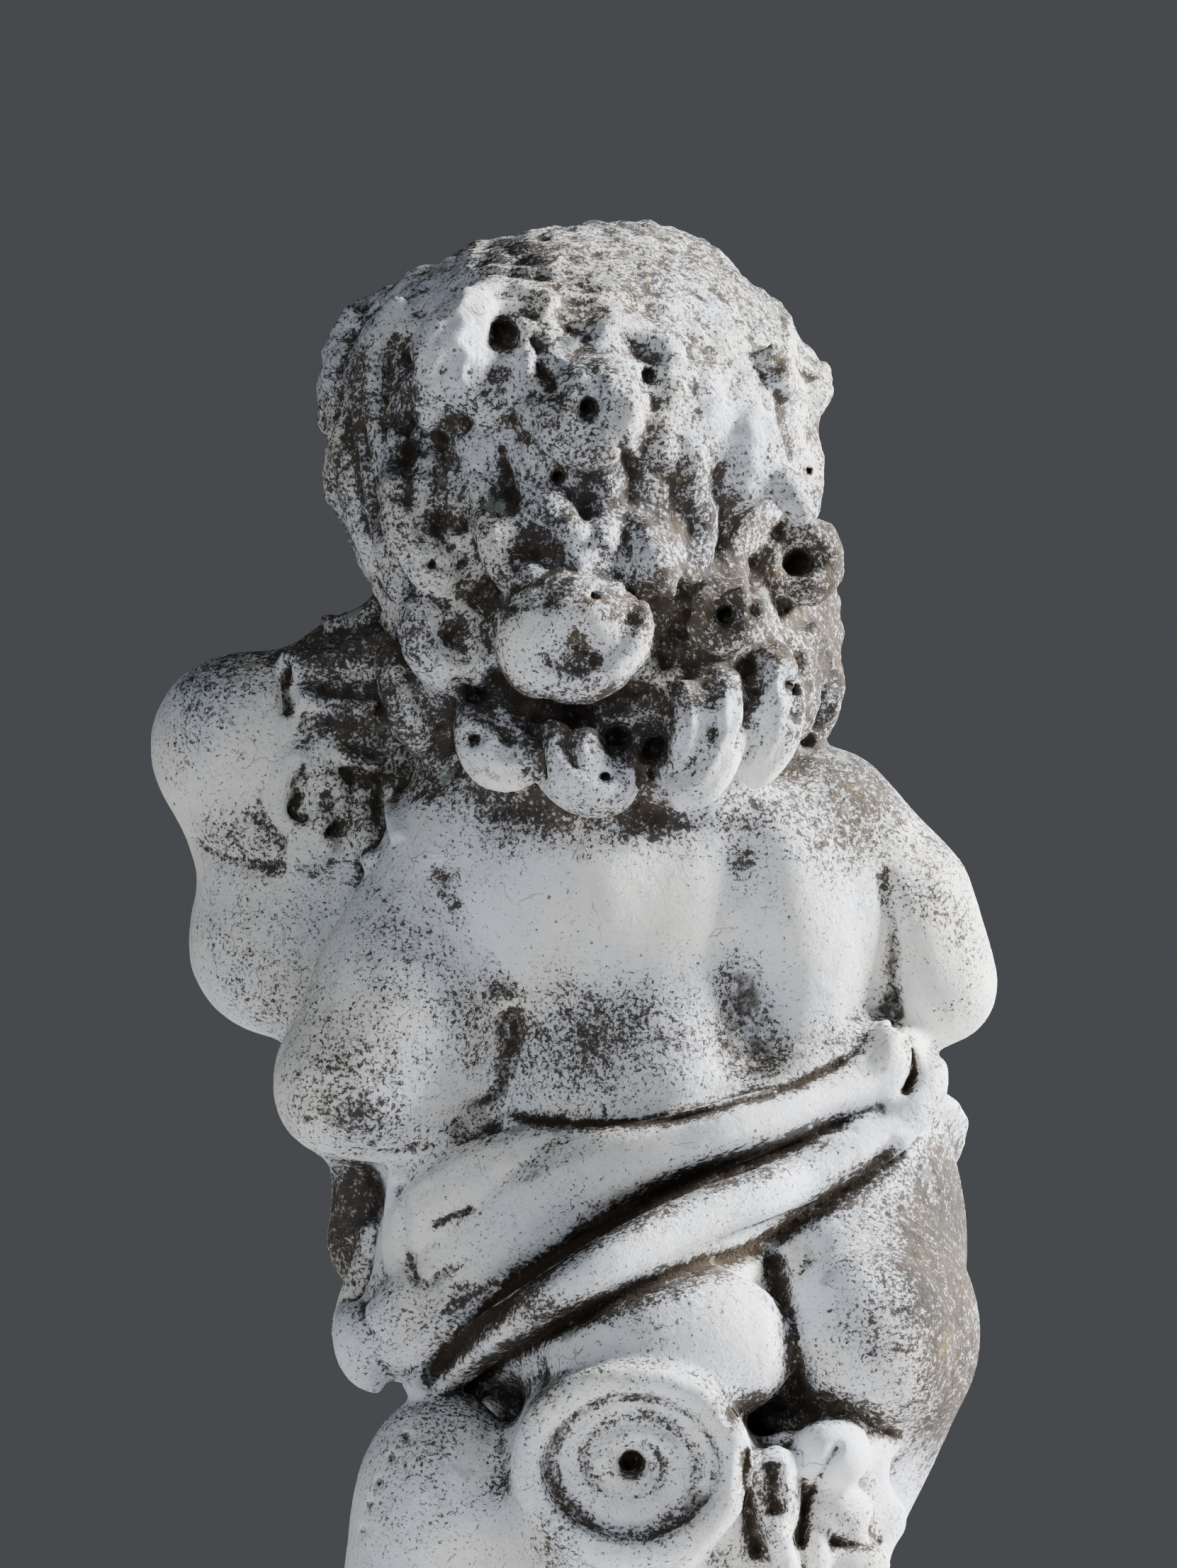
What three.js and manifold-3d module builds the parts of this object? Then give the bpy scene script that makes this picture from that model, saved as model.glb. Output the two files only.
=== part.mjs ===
// A stone putto on a low plinth, carved as one piece. Millimetres, +Z up.
// The figure faces -Y and its back faces +Y; its own left side is +X. The origin is at the
// middle of the plinth's underside. The whole carving is described as one distance field,
// negative inside the stone, and then turned into one closed skin of flat triangles.

import * as THREE from 'three';
import Module from 'manifold-3d';

// ---------------------------------------------------------------- driving dimensions
const PLINTH = { width: 272, depth: 262, height: 44, corner: 48, chamfer: 5 };
const BODY_TURN = 0.24; // radians: the trunk turns towards the shield on its left
const SKIN_BLEND = 18; // fillet between fleshy masses
const CLOTH = 11; // thickness of the drape over the flesh
const SPINE_DEPTH = 7;
const CLEFT_DEPTH = 17;
const FURROW_WIDTH = 12; // of the spine and the cleft, from the middle to where they fade
const FALL_FOLDS = { depth: 3.5, count: 9, lean: 0.02 }; // in the free ends of the cloth
const CELL = 6; // size of the sampling cells of the skin
const TRIANGLES = 9300; // of the figure, before the plinth is joined
const LIMITS = new THREE.Box3(new THREE.Vector3(-172, -150, 20), new THREE.Vector3(230, 150, 874));

const HEAD = {
  centre: [20, -14, 738],
  pitch: 0.3,
  yaw: -0.16,
  roll: 0.06,
  halfWidth: 90,
  halfDepth: 98,
  halfHeight: 96,
};
const HAIR = { centre: [26, -8, 752], radii: [101, 104, 103] };
const VOLUTE = { centre: [3, 332], radii: [50, 43], front: 128, back: 40, rim: 9, lip: 6, eye: 6 };

// ---------------------------------------------------------------- distance fields
const { abs, atan2, cos, exp, hypot, max, min, PI, sin, sqrt } = Math;
const clamp = (value, low, high) => min(high, max(low, value));
const mix = (a, b, share) => a + (b - a) * share;
const smoothstep = (low, high, value) => {
  const t = clamp((value - low) / (high - low), 0, 1);
  return t * t * (3 - 2 * t);
};

// A mass is a distance function with a sphere around it, so far masses are skipped.
const mass = (centre, reach, distance) => ({ centre, reach, distance });

// An ellipsoid, turned about the vertical.
function egg(centre, [rx, ry, rz], turn = 0) {
  const c = cos(turn);
  const s = sin(turn);
  return mass(centre, max(rx, ry, rz), (x, y, z) => {
    const u = x - centre[0];
    const v = y - centre[1];
    const a = c * u + s * v;
    const b = c * v - s * u;
    const w = z - centre[2];
    const near = hypot(a / rx, b / ry, w / rz);
    const slope = hypot(a / (rx * rx), b / (ry * ry), w / (rz * rz));
    return slope < 1e-9 ? -min(rx, ry, rz) : (near * (near - 1)) / slope;
  });
}

const ball = (centre, radius) => egg(centre, [radius, radius, radius]);

// A tapering round limb between two points.
function limb(from, to, startRadius, endRadius) {
  const axis = to.map((value, i) => value - from[i]);
  const length2 = axis[0] ** 2 + axis[1] ** 2 + axis[2] ** 2;
  const middle = from.map((value, i) => value + axis[i] / 2);
  const reach = sqrt(length2) / 2 + max(startRadius, endRadius);
  return mass(middle, reach, (x, y, z) => {
    const u = x - from[0];
    const v = y - from[1];
    const w = z - from[2];
    const t = clamp((u * axis[0] + v * axis[1] + w * axis[2]) / length2, 0, 1);
    const radius = mix(startRadius, endRadius, t);
    return hypot(u - t * axis[0], v - t * axis[1], w - t * axis[2]) - radius;
  });
}

// A limb through several points, each [x, y, z, radius].
function chain(points) {
  return points.slice(1).map((point, i) => {
    const before = points[i];
    return limb(before.slice(0, 3), point.slice(0, 3), before[3], point[3]);
  });
}

function smoothMin(a, b, blend) {
  const h = max(blend - abs(a - b), 0) / blend;
  return min(a, b) - (h * h * blend) / 4;
}

const smoothMax = (a, b, blend) => -smoothMin(-a, -b, blend);

// Joins masses with a fillet.
function blendAll(masses, blend) {
  return (x, y, z) => {
    let d = 1e3;
    for (const { centre, reach, distance } of masses) {
      const gap = hypot(x - centre[0], y - centre[1], z - centre[2]) - reach;
      if (gap < d + blend) d = smoothMin(d, distance(x, y, z), blend);
    }
    return d;
  };
}

// A periodic curve through values given at even steps round a circle.
function ring(values) {
  const n = values.length;
  return (angle) => {
    const s = ((angle / (2 * PI)) * n + 4 * n) % n;
    const i = Math.floor(s);
    const t = s - i;
    const [a, b, c, d] = [i + n - 1, i, i + 1, i + 2].map((k) => values[k % n]);
    return b + 0.5 * t * (c - a + t * (2 * a - 5 * b + 4 * c - d + t * (3 * (b - c) + d - a)));
  };
}

// ---------------------------------------------------------------- trunk and legs
const trunk = [
  egg([-8, 2, 556], [91, 58, 72], BODY_TURN), // chest and shoulders
  egg([-48, 30, 572], [42, 32, 46]), // right shoulder blade
  egg([32, 34, 570], [44, 32, 46]), // left shoulder blade
  egg([-22, 2, 486], [82, 60, 62], BODY_TURN), // waist
  egg([-4, -34, 462], [64, 48, 60], BODY_TURN), // belly
  egg([62, 2, 490], [34, 36, 44]), // flank, pressed against the left arm
  egg([-74, 12, 540], [31, 34, 60]), // right flank, seen inside the arm
  egg([-38, 4, 404], [102, 66, 60], BODY_TURN), // hips
  egg([-86, -2, 428], [56, 52, 66]), // right hip, thrown out
];
const buttocks = [
  egg([-6, 52, 380], [54, 46, 50], BODY_TURN),
  egg([-100, 40, 380], [47, 46, 52], BODY_TURN),
];
const neck = limb([-2, -2, 590], [12, -16, 650], 50, 48);

const rightLeg = chain([
  [-85, 6, 354, 53],
  [-34, -12, 212, 38],
  [-42, 6, 160, 36],
  [-46, 8, 84, 25],
]);
const leftLeg = chain([
  [6, -8, 356, 56],
  [44, -62, 218, 40],
  [46, -40, 162, 36],
  [48, -24, 84, 25],
]);
const foot = (x, y, splay) => [
  limb([x, y + 8, 66], [x + splay, y - 52, 58], 24, 17),
  limb([x - 6, y - 10, 58], [x + splay - 14, y - 56, 56], 18, 13),
  limb([x + 8, y - 8, 56], [x + splay + 14, y - 46, 54], 17, 11),
];
const rightFoot = foot(-48, 2, -8);
const leftFoot = foot(50, -32, 10);

// ---------------------------------------------------------------- arms and hands
const leftArm = chain([
  [64, 4, 590, 42],
  [98, 26, 524, 40],
  [127, 40, 484, 30],
]);
const leftForearm = chain([
  [108, 26, 488, 35],
  [122, -10, 486, 34],
  [128, -74, 496, 22],
]);
const rightArm = chain([
  [-78, 2, 594, 38],
  [-113, 2, 562, 31],
  [-129, 6, 528, 26],
]);
const rightForearm = chain([
  [-127, 5, 529, 26],
  [-101, -34, 532, 29],
  [-40, -82, 550, 21],
]);

// A plump hand: a palm and four fingers that spread from it towards `tips`.
function hand(palm, tips, spread, curl) {
  const fingers = [-1.5, -0.5, 0.5, 1.5].flatMap((place) => {
    const root = palm.map((value, i) => value + spread[i] * place * 0.75);
    const knuckle = root.map((value, i) => value + tips[i] * 0.55 + spread[i] * place * 0.2);
    const tip = knuckle.map((value, i) => value + tips[i] * 0.5 + curl[i]);
    return [limb(root, knuckle, 10, 9.5), limb(knuckle, tip, 9.5, 8)];
  });
  return [egg(palm, [21, 19, 21]), ...fingers];
}
const leftHand = hand([128, -92, 508], [4, -18, 30], [14, 2, 1], [2, 12, 8]);
const rightHand = hand([-12, -90, 560], [38, -3, 13], [-3, -2, 14], [8, 6, 0]);

// ---------------------------------------------------------------- head and face
const headAngles = new THREE.Euler(HEAD.pitch, HEAD.roll, HEAD.yaw, 'ZYX');
const headTurn = new THREE.Matrix4().makeRotationFromEuler(headAngles);
const toHead = headTurn.clone().invert().elements;

// A mass given in the head's own frame: x across, -y out of the face, z up.
function inHead({ centre, reach, distance }) {
  const place = new THREE.Vector3(...centre).applyMatrix4(headTurn).add(new THREE.Vector3(...HEAD.centre));
  const e = toHead;
  return mass(place.toArray(), reach, (x, y, z) => {
    const u = x - HEAD.centre[0];
    const v = y - HEAD.centre[1];
    const w = z - HEAD.centre[2];
    return distance(
      e[0] * u + e[4] * v + e[8] * w,
      e[1] * u + e[5] * v + e[9] * w,
      e[2] * u + e[6] * v + e[10] * w,
    );
  });
}

const bothSides = (make) => [-1, 1].map(make);
const skull = [
  egg([0, 0, 0], [HEAD.halfWidth, HEAD.halfDepth, HEAD.halfHeight]),
  egg([0, -34, -50], [66, 56, 54]), // jaw
  ...bothSides((side) => ball([side * 37, -56, -50], 34)), // cheeks
  ball([0, -68, -88], 22), // chin
].map(inHead);
const features = [
  limb([0, -91, -18], [0, -97, -42], 7, 10), // nose
  ...bothSides((side) => ball([side * 9, -90, -45], 8)), // nostril wings
  ...bothSides((side) => egg([side * 34, -77, -18], [15, 12, 10])), // eyes and lids
  ...bothSides((side) => limb([side * 14, -91, 0], [side * 50, -72, 2], 8, 7)), // brows
  egg([0, -87, -64], [18, 8, 6]), // upper lip
  egg([0, -84, -73], [14, 8, 6]), // lower lip
].map(inHead);

// ---------------------------------------------------------------- hair
const [hairX, hairY] = HAIR.centre;
const hairCap = [
  egg(HAIR.centre, HAIR.radii),
  egg([75, -16, 790], [50, 62, 44]), // the crown is broad and a little flat
  egg([-22, -12, 790], [48, 60, 44]),
  egg([-6, -20, 836], [22, 26, 17]),
  egg([10, 10, 664], [87, 77, 56]), // the fall of hair over the nape
];
const capField = blendAll(hairCap, 26);

// How far the smooth hair mass reaches from its axis, in a level direction.
function capReach(around, z) {
  let [low, high] = [0, 160];
  for (let i = 0; i < 18; i += 1) {
    const middle = (low + high) / 2;
    if (capField(hairX + middle * sin(around), hairY + middle * cos(around), z) < 0) low = middle;
    else high = middle;
  }
  return low;
}

// A lock on the hair mass, `proud` of it by a share of its radius.
function lockAt(around, z, radius, proud = 0.4, stretch = [1, 1, 1]) {
  const out = capReach(around, z) - radius * (1 - proud);
  const centre = [hairX + out * sin(around), hairY + out * cos(around), z];
  return egg(centre, stretch.map((share) => share * radius), -around);
}

// The same for a lock on the back, placed by its distance to the side.
function backLock(x, z, radius, proud, stretch) {
  let around = 0;
  for (let i = 0; i < 6; i += 1) around = Math.asin(clamp((x - hairX) / capReach(around, z), -0.97, 0.97));
  return lockAt(around, z, radius, proud, stretch);
}

const backLocks = [
  backLock(27, 674, 36, 0.72, [1, 0.9, 0.85]), // the large hooked lock at the middle
  backLock(60, 792, 27, 0.45), // high on the left
  backLock(21, 775, 29, 0.34), // the crown whorl
  backLock(90, 718, 25, 0.6, [0.8, 0.9, 1.3]),
  backLock(78, 672, 26, 0.7, [1.1, 0.9, 0.8]),
  backLock(98, 642, 22, 0.55, [0.8, 0.9, 1.4]),
  backLock(55, 630, 21, 0.85),
  backLock(22, 621, 23, 0.9, [1.2, 0.9, 0.85]),
  backLock(-21, 627, 24, 0.9, [1.05, 0.9, 0.95]),
  backLock(-52, 646, 22, 0.75, [0.8, 0.9, 1.4]),
  backLock(-70, 656, 19, 0.6, [0.8, 0.9, 1.5]),
  backLock(-37, 687, 21, 0.7),
  backLock(-64, 708, 22, 0.6),
  backLock(-50, 765, 26, 0.4, [0.8, 0.9, 1.5]),
  backLock(50, 718, 20, 0.6),
  backLock(-6, 716, 20, 0.55),
];
const cornerLock = egg([103, -26, 799], [28, 34, 29]);
const cheekLock = egg([-68, -46, 686], [23, 26, 34]);
const sideLocks = bothSides((side) => side).flatMap((side) => {
  const locks = [];
  for (let row = 0; row < 4; row += 1) {
    for (let step = 0; step < 3; step += 1) {
      const around = side * (1.46 + step * 0.34 + (row % 2) * 0.16);
      const proud = side > 0 && row < 2 ? 0.1 : 0.5; // the left locks lie flat beside the shield
      locks.push(lockAt(around, 660 + row * 42, 23 - row, proud, [1, 0.9, 1.15]));
    }
  }
  return locks;
});
const fringe = [-2, -1, 0, 1, 2].map((step) => {
  const angle = step * 0.36;
  const centre = [sin(angle) * 80, -cos(angle) * 88, 42 + 9 * cos(angle * 2)];
  return inHead(egg(centre, [20, 19, 21]));
});

// The hair leaves the face bare: an opening in the front of the hair mass.
const faceOpening = blendAll([egg([0, -96, -44], [70, 60, 78])].map(inHead), 1);

// ---------------------------------------------------------------- drape
const HIPS = [-38, 2]; // the vertical axis that the drape goes round
// Heights every 45 degrees: back, back left, left, front left, front, front right, right, back right.
const drapeTop = ring([477, 466, 460, 454, 460, 480, 503, 507]);
const drapeHem = ring([422, 374, 344, 330, 318, 400, 468, 462]);
const drapeAngle = (x, y) => atan2(x - HIPS[0], y - HIPS[1]);
const ROLLS = [
  { place: 0.12, width: 0.12, rise: 8 },
  { place: 0.32, width: 0.1, rise: 5 },
  { place: 0.52, width: 0.07, rise: -3 },
  { place: 0.8, width: 0.13, rise: 11 },
];

// How far the cloth stands off the flesh: rolls run round the hips between the top and the hem.
function clothOffset(angle, z) {
  const top = drapeTop(angle);
  const hem = drapeHem(angle);
  const share = (top - z) / (top - hem);
  const rolls = ROLLS.reduce((sum, roll) => {
    const off = (share - roll.place) / roll.width;
    return sum + roll.rise * exp(-(off ** 2));
  }, 0);
  return CLOTH + rolls - 4;
}

const drapeKnot = [
  ball([-112, 28, 492], 15),
  limb([-114, 36, 498], [-106, 38, 512], 10, 6),
];
// The cloth gathered on the left hip, what hangs behind the left elbow, and the front folds.
const leftGather = [
  egg([60, 4, 424], [46, 50, 60]),
  egg([86, 12, 390], [38, 38, 36]),
];
const elbowFall = chain([
  [112, -28, 460, 18],
  [118, -26, 412, 16],
  [108, -22, 392, 12],
]);
const frontFall = [0, 1, 2, 3, 4].flatMap((fold) => chain([
  [-30 + 18 * fold, -44, 436, 15],
  [-30 + 19 * fold, -66 + 3 * abs(fold - 2), 384, 15],
  [-26 + 20 * fold, -74 + 4 * abs(fold - 2), 322, 15],
  [-22 + 21 * fold, -78 + 5 * abs(fold - 2), 262 + 11 * abs(fold - 1), 13],
]));

// ---------------------------------------------------------------- shield held in the arms
const shield = [
  egg([172, -58, 630], [43, 40, 43]), // upper lobe
  egg([156, -54, 545], [42, 38, 43]), // lower lobe
  egg([150, -56, 588], [46, 35, 28]), // between the lobes
  egg([114, -58, 624], [58, 36, 66]), // middle
  egg([122, -52, 566], [46, 34, 52]),
];
const shieldRelief = [
  limb([134, -20, 628], [142, -19, 600], 6, 6),
  limb([142, -19, 600], [126, -17, 590], 6, 5),
  limb([126, -16, 580], [110, -18, 590], 6, 5),
  ball([116, -20, 634], 6),
  ball([104, -20, 630], 6),
  egg([104, -20, 590], [10, 8, 18]),
];

// ---------------------------------------------------------------- scroll support
const stem = chain([
  [3, 84, 300, 42],
  [4, 72, 220, 42],
  [4, 66, 130, 46],
  [2, 62, 58, 54],
]);
const stemSides = [
  ...chain([
    [-32, 80, 296, 24],
    [-34, 74, 200, 22],
    [-44, 70, 120, 30],
    [-64, 62, 58, 38],
  ]),
  ...chain([
    [38, 80, 296, 24],
    [40, 74, 200, 22],
    [50, 70, 120, 30],
    [70, 62, 58, 38],
  ]),
];
// A second, plainer scroll leans against the left side of the first.
const sideScroll = [
  egg([83, 42, 297], [40, 46, 60]),
  egg([88, 40, 250], [41, 42, 60]),
  limb([84, 42, 232], [66, 48, 130], 36, 28),
];
const leaves = [
  egg([-91, 70, 331], [18, 16, 17]),
  egg([-62, 84, 316], [14, 14, 32]),
  egg([-98, 62, 304], [20, 16, 14]),
  egg([-44, 86, 298], [12, 14, 30]),
  egg([-84, 64, 282], [24, 18, 26]),
  limb([-72, 66, 286], [-46, 66, 190], 26, 24),
];

// The scroll's end: an oval disc with a raised rim and a turning groove, drilled at the eye.
function voluteDistance(x, y, z) {
  const u = (x - VOLUTE.centre[0]) / VOLUTE.radii[0];
  const w = (z - VOLUTE.centre[1]) / VOLUTE.radii[1];
  const out = hypot(u, w);
  const size = (VOLUTE.radii[0] + VOLUTE.radii[1]) / 2;
  const turns = atan2(w, u) / (2 * PI);
  const spiral = 0.5 + 0.5 * cos(2 * PI * (out * 2.6 - turns));
  const rimShare = smoothstep(1 - (VOLUTE.rim * 1.7) / size, 1 - (VOLUTE.rim * 0.7) / size, out);
  const face = VOLUTE.front - VOLUTE.lip * (1 - rimShare) - 2.5 * spiral * (1 - rimShare);
  const side = (out - 1) * size;
  const disc = smoothMax(smoothMax(side, y - face, 5), VOLUTE.back - y, 5);
  const eye = hypot(x - VOLUTE.centre[0], z - VOLUTE.centre[1]) - VOLUTE.eye;
  return max(disc, -max(eye, VOLUTE.front - 26 - y));
}

// ---------------------------------------------------------------- the whole carving
const trunkField = blendAll([...trunk, ...buttocks, neck], SKIN_BLEND);
const legField = blendAll([...rightLeg, ...leftLeg, ...rightFoot, ...leftFoot], 9);
const armField = blendAll([...leftArm, ...leftForearm, ...rightArm, ...rightForearm], 12);
const handField = blendAll([...leftHand, ...rightHand], 3);
const skullField = blendAll(skull, 16);
const featureField = blendAll(features, 5);
const lockField = blendAll([...backLocks, cornerLock, cheekLock, ...sideLocks, ...fringe], 4);
const knotField = blendAll(drapeKnot, 6);
const gatherField = blendAll(leftGather, 16);
const fallField = blendAll([...elbowFall, ...frontFall], 9);
const shieldField = blendAll(shield, 14);
const reliefField = blendAll(shieldRelief, 3);
const supportField = blendAll([...stem, ...stemSides, ...sideScroll], 12);
const leafField = blendAll(leaves, 4);

const spineX = (z) => -44 - 0.06 * (z - 540);
const cleftX = -62;

// The groove of the spine and the cleft below it.
function backGrooves(x, y, z) {
  if (y < 0) return 0;
  const spineBand = smoothstep(470, 505, z) * (1 - smoothstep(575, 610, z));
  const spine = SPINE_DEPTH * exp(-(((x - spineX(z)) / FURROW_WIDTH) ** 2)) * spineBand;
  const cleftBand = smoothstep(335, 352, z) * (1 - smoothstep(400, 430, z));
  const cleft = CLEFT_DEPTH * exp(-(((x - cleftX) / FURROW_WIDTH) ** 2)) * cleftBand;
  return (spine + cleft) * smoothstep(10, 40, y);
}

// Folds run down the free ends of the cloth.
const fallFolds = (x, y, z) => {
  const { depth, count, lean } = FALL_FOLDS;
  return depth * sin(atan2(y + 40, x - 20) * count + z * lean);
};

function statue(x, y, z) {
  const torso = trunkField(x, y, z) + backGrooves(x, y, z);
  const legs = legField(x, y, z);
  const body = smoothMin(torso, legs, 14);
  let d = smoothMin(body, armField(x, y, z), 7);
  if (z > 280 && z < 530) {
    const angle = drapeAngle(x, y);
    const under = smoothMin(body, gatherField(x, y, z) + CLOTH, 20);
    const cloth = smoothMax(under - clothOffset(angle, z), z - drapeTop(angle), 8);
    d = smoothMin(d, smoothMax(cloth, drapeHem(angle) - z, 8), 3);
  }
  d = smoothMin(d, fallField(x, y, z) + fallFolds(x, y, z), 5);
  d = smoothMin(d, knotField(x, y, z), 5);
  const support = smoothMin(supportField(x, y, z), voluteDistance(x, y, z), 4);
  d = smoothMin(d, smoothMin(support, leafField(x, y, z), 5), 6);
  d = smoothMin(d, smoothMin(shieldField(x, y, z), reliefField(x, y, z), 3), 5);
  const face = smoothMin(skullField(x, y, z), featureField(x, y, z), 6);
  const hair = smoothMax(smoothMin(capField(x, y, z), lockField(x, y, z), 4), -faceOpening(x, y, z), 10);
  d = smoothMin(d, smoothMin(face, hair, 4), 6);
  return smoothMin(d, handField(x, y, z), 4);
}

// ---------------------------------------------------------------- skin of the field
// Each cell of a cubic lattice is cut into six tetrahedra round its long diagonal, and each
// tetrahedron that the skin crosses gives one or two triangles, so the skin is always closed.
const CORNERS = [[0, 0, 0], [1, 0, 0], [0, 1, 0], [1, 1, 0], [0, 0, 1], [1, 0, 1], [0, 1, 1], [1, 1, 1]];
const TETRAHEDRA = [[0, 1, 3, 7], [0, 3, 2, 7], [0, 2, 6, 7], [0, 6, 4, 7], [0, 4, 5, 7], [0, 5, 1, 7]];

function skinOf(field, box, cell) {
  const size = box.getSize(new THREE.Vector3());
  const [nx, ny, nz] = [size.x, size.y, size.z].map((length) => Math.ceil(length / cell) + 1);
  const place = (i) => [
    box.min.x + (i % nx) * cell,
    box.min.y + (Math.floor(i / nx) % ny) * cell,
    box.min.z + Math.floor(i / (nx * ny)) * cell,
  ];
  const values = new Float64Array(nx * ny * nz);
  for (let i = 0; i < values.length; i += 1) {
    const layer = Math.floor(i / (nx * ny));
    const atFoot = layer === 0; // the skin is closed off inside the plinth
    values[i] = atFoot ? cell : field(...place(i)) || 1e-6;
  }
  const points = [];
  const triangles = [];
  const onEdge = new Map();
  const crossing = (a, b) => {
    const [low, high] = a < b ? [a, b] : [b, a];
    const key = low * values.length + high;
    let found = onEdge.get(key);
    if (found === undefined) {
      const t = clamp(values[low] / (values[low] - values[high]), 0.04, 0.96);
      const p = place(low);
      const q = place(high);
      found = points.length;
      points.push(p.map((value, k) => mix(value, q[k], t)));
      onEdge.set(key, found);
    }
    return found;
  };
  const addFace = (a, b, c, inside) => {
    const [p, q, r] = [points[a], points[b], points[c]];
    const u = q.map((value, k) => value - p[k]);
    const v = r.map((value, k) => value - p[k]);
    const toInside = place(inside).map((value, k) => value - p[k]);
    const facing = toInside[0] * (u[1] * v[2] - u[2] * v[1])
      + toInside[1] * (u[2] * v[0] - u[0] * v[2])
      + toInside[2] * (u[0] * v[1] - u[1] * v[0]);
    triangles.push(facing < 0 ? [a, b, c] : [a, c, b]);
  };
  const steps = CORNERS.map(([i, j, k]) => i + nx * (j + ny * k));
  for (let k = 0; k < nz - 1; k += 1) {
    for (let j = 0; j < ny - 1; j += 1) {
      for (let i = 0; i < nx - 1; i += 1) {
        const start = i + nx * (j + ny * k);
        const inCell = steps.filter((step) => values[start + step] < 0).length;
        if (inCell === 0 || inCell === 8) continue;
        for (const corners of TETRAHEDRA) {
          const nodes = corners.map((corner) => start + steps[corner]);
          const inside = nodes.filter((node) => values[node] < 0);
          const outside = nodes.filter((node) => values[node] >= 0);
          if (inside.length === 1) {
            const [a, b, c] = outside.map((node) => crossing(inside[0], node));
            addFace(a, b, c, inside[0]);
          } else if (inside.length === 3) {
            const [a, b, c] = inside.map((node) => crossing(node, outside[0]));
            addFace(a, b, c, inside[0]);
          } else if (inside.length === 2) {
            const a = crossing(inside[0], outside[0]);
            const b = crossing(inside[0], outside[1]);
            const c = crossing(inside[1], outside[1]);
            const e = crossing(inside[1], outside[0]);
            addFace(a, b, c, inside[0]);
            addFace(a, c, e, inside[0]);
          }
        }
      }
    }
  }
  return { points, triangles };
}

// Evens out the steps that the lattice leaves: each point moves part of the way to the
// middle of its neighbours.
function relax({ points, triangles }, passes, share) {
  const neighbours = points.map(() => new Set());
  triangles.forEach((face) => face.forEach((corner, i) => neighbours[corner].add(face[(i + 1) % 3])));
  let moved = points;
  for (let pass = 0; pass < passes; pass += 1) {
    const from = moved;
    moved = from.map((point, i) => {
      const middle = [0, 0, 0];
      neighbours[i].forEach((other) => from[other].forEach((value, k) => {
        middle[k] += value / neighbours[i].size;
      }));
      return point.map((value, k) => mix(value, middle[k], share));
    });
  }
  return { points: moved, triangles };
}

// ---------------------------------------------------------------- fewer, larger triangles
// A queue of edges, cheapest first.
class Queue {
  constructor() {
    this.items = [];
  }

  push(item) {
    const { items } = this;
    let i = items.length;
    items.push(item);
    while (i > 0) {
      const parent = (i - 1) >> 1;
      if (items[parent].cost <= item.cost) break;
      items[i] = items[parent];
      i = parent;
    }
    items[i] = item;
  }

  pop() {
    const { items } = this;
    const top = items[0];
    const last = items.pop();
    if (items.length === 0) return top;
    let i = 0;
    for (;;) {
      let child = 2 * i + 1;
      if (child >= items.length) break;
      if (child + 1 < items.length && items[child + 1].cost < items[child].cost) child += 1;
      if (items[child].cost >= last.cost) break;
      items[i] = items[child];
      i = child;
    }
    items[i] = last;
    return top;
  }
}

// Edges are collapsed one by one, each time the one that moves the skin least, until
// `wanted` triangles are left. The skin stays closed and no triangle turns over.
const EVEN_PULL = 0.004; // towards the corner itself, which keeps triangles even where the skin is flat
const NEXT_VERSION = 4096; // tells the two ends' versions apart in one number

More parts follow.
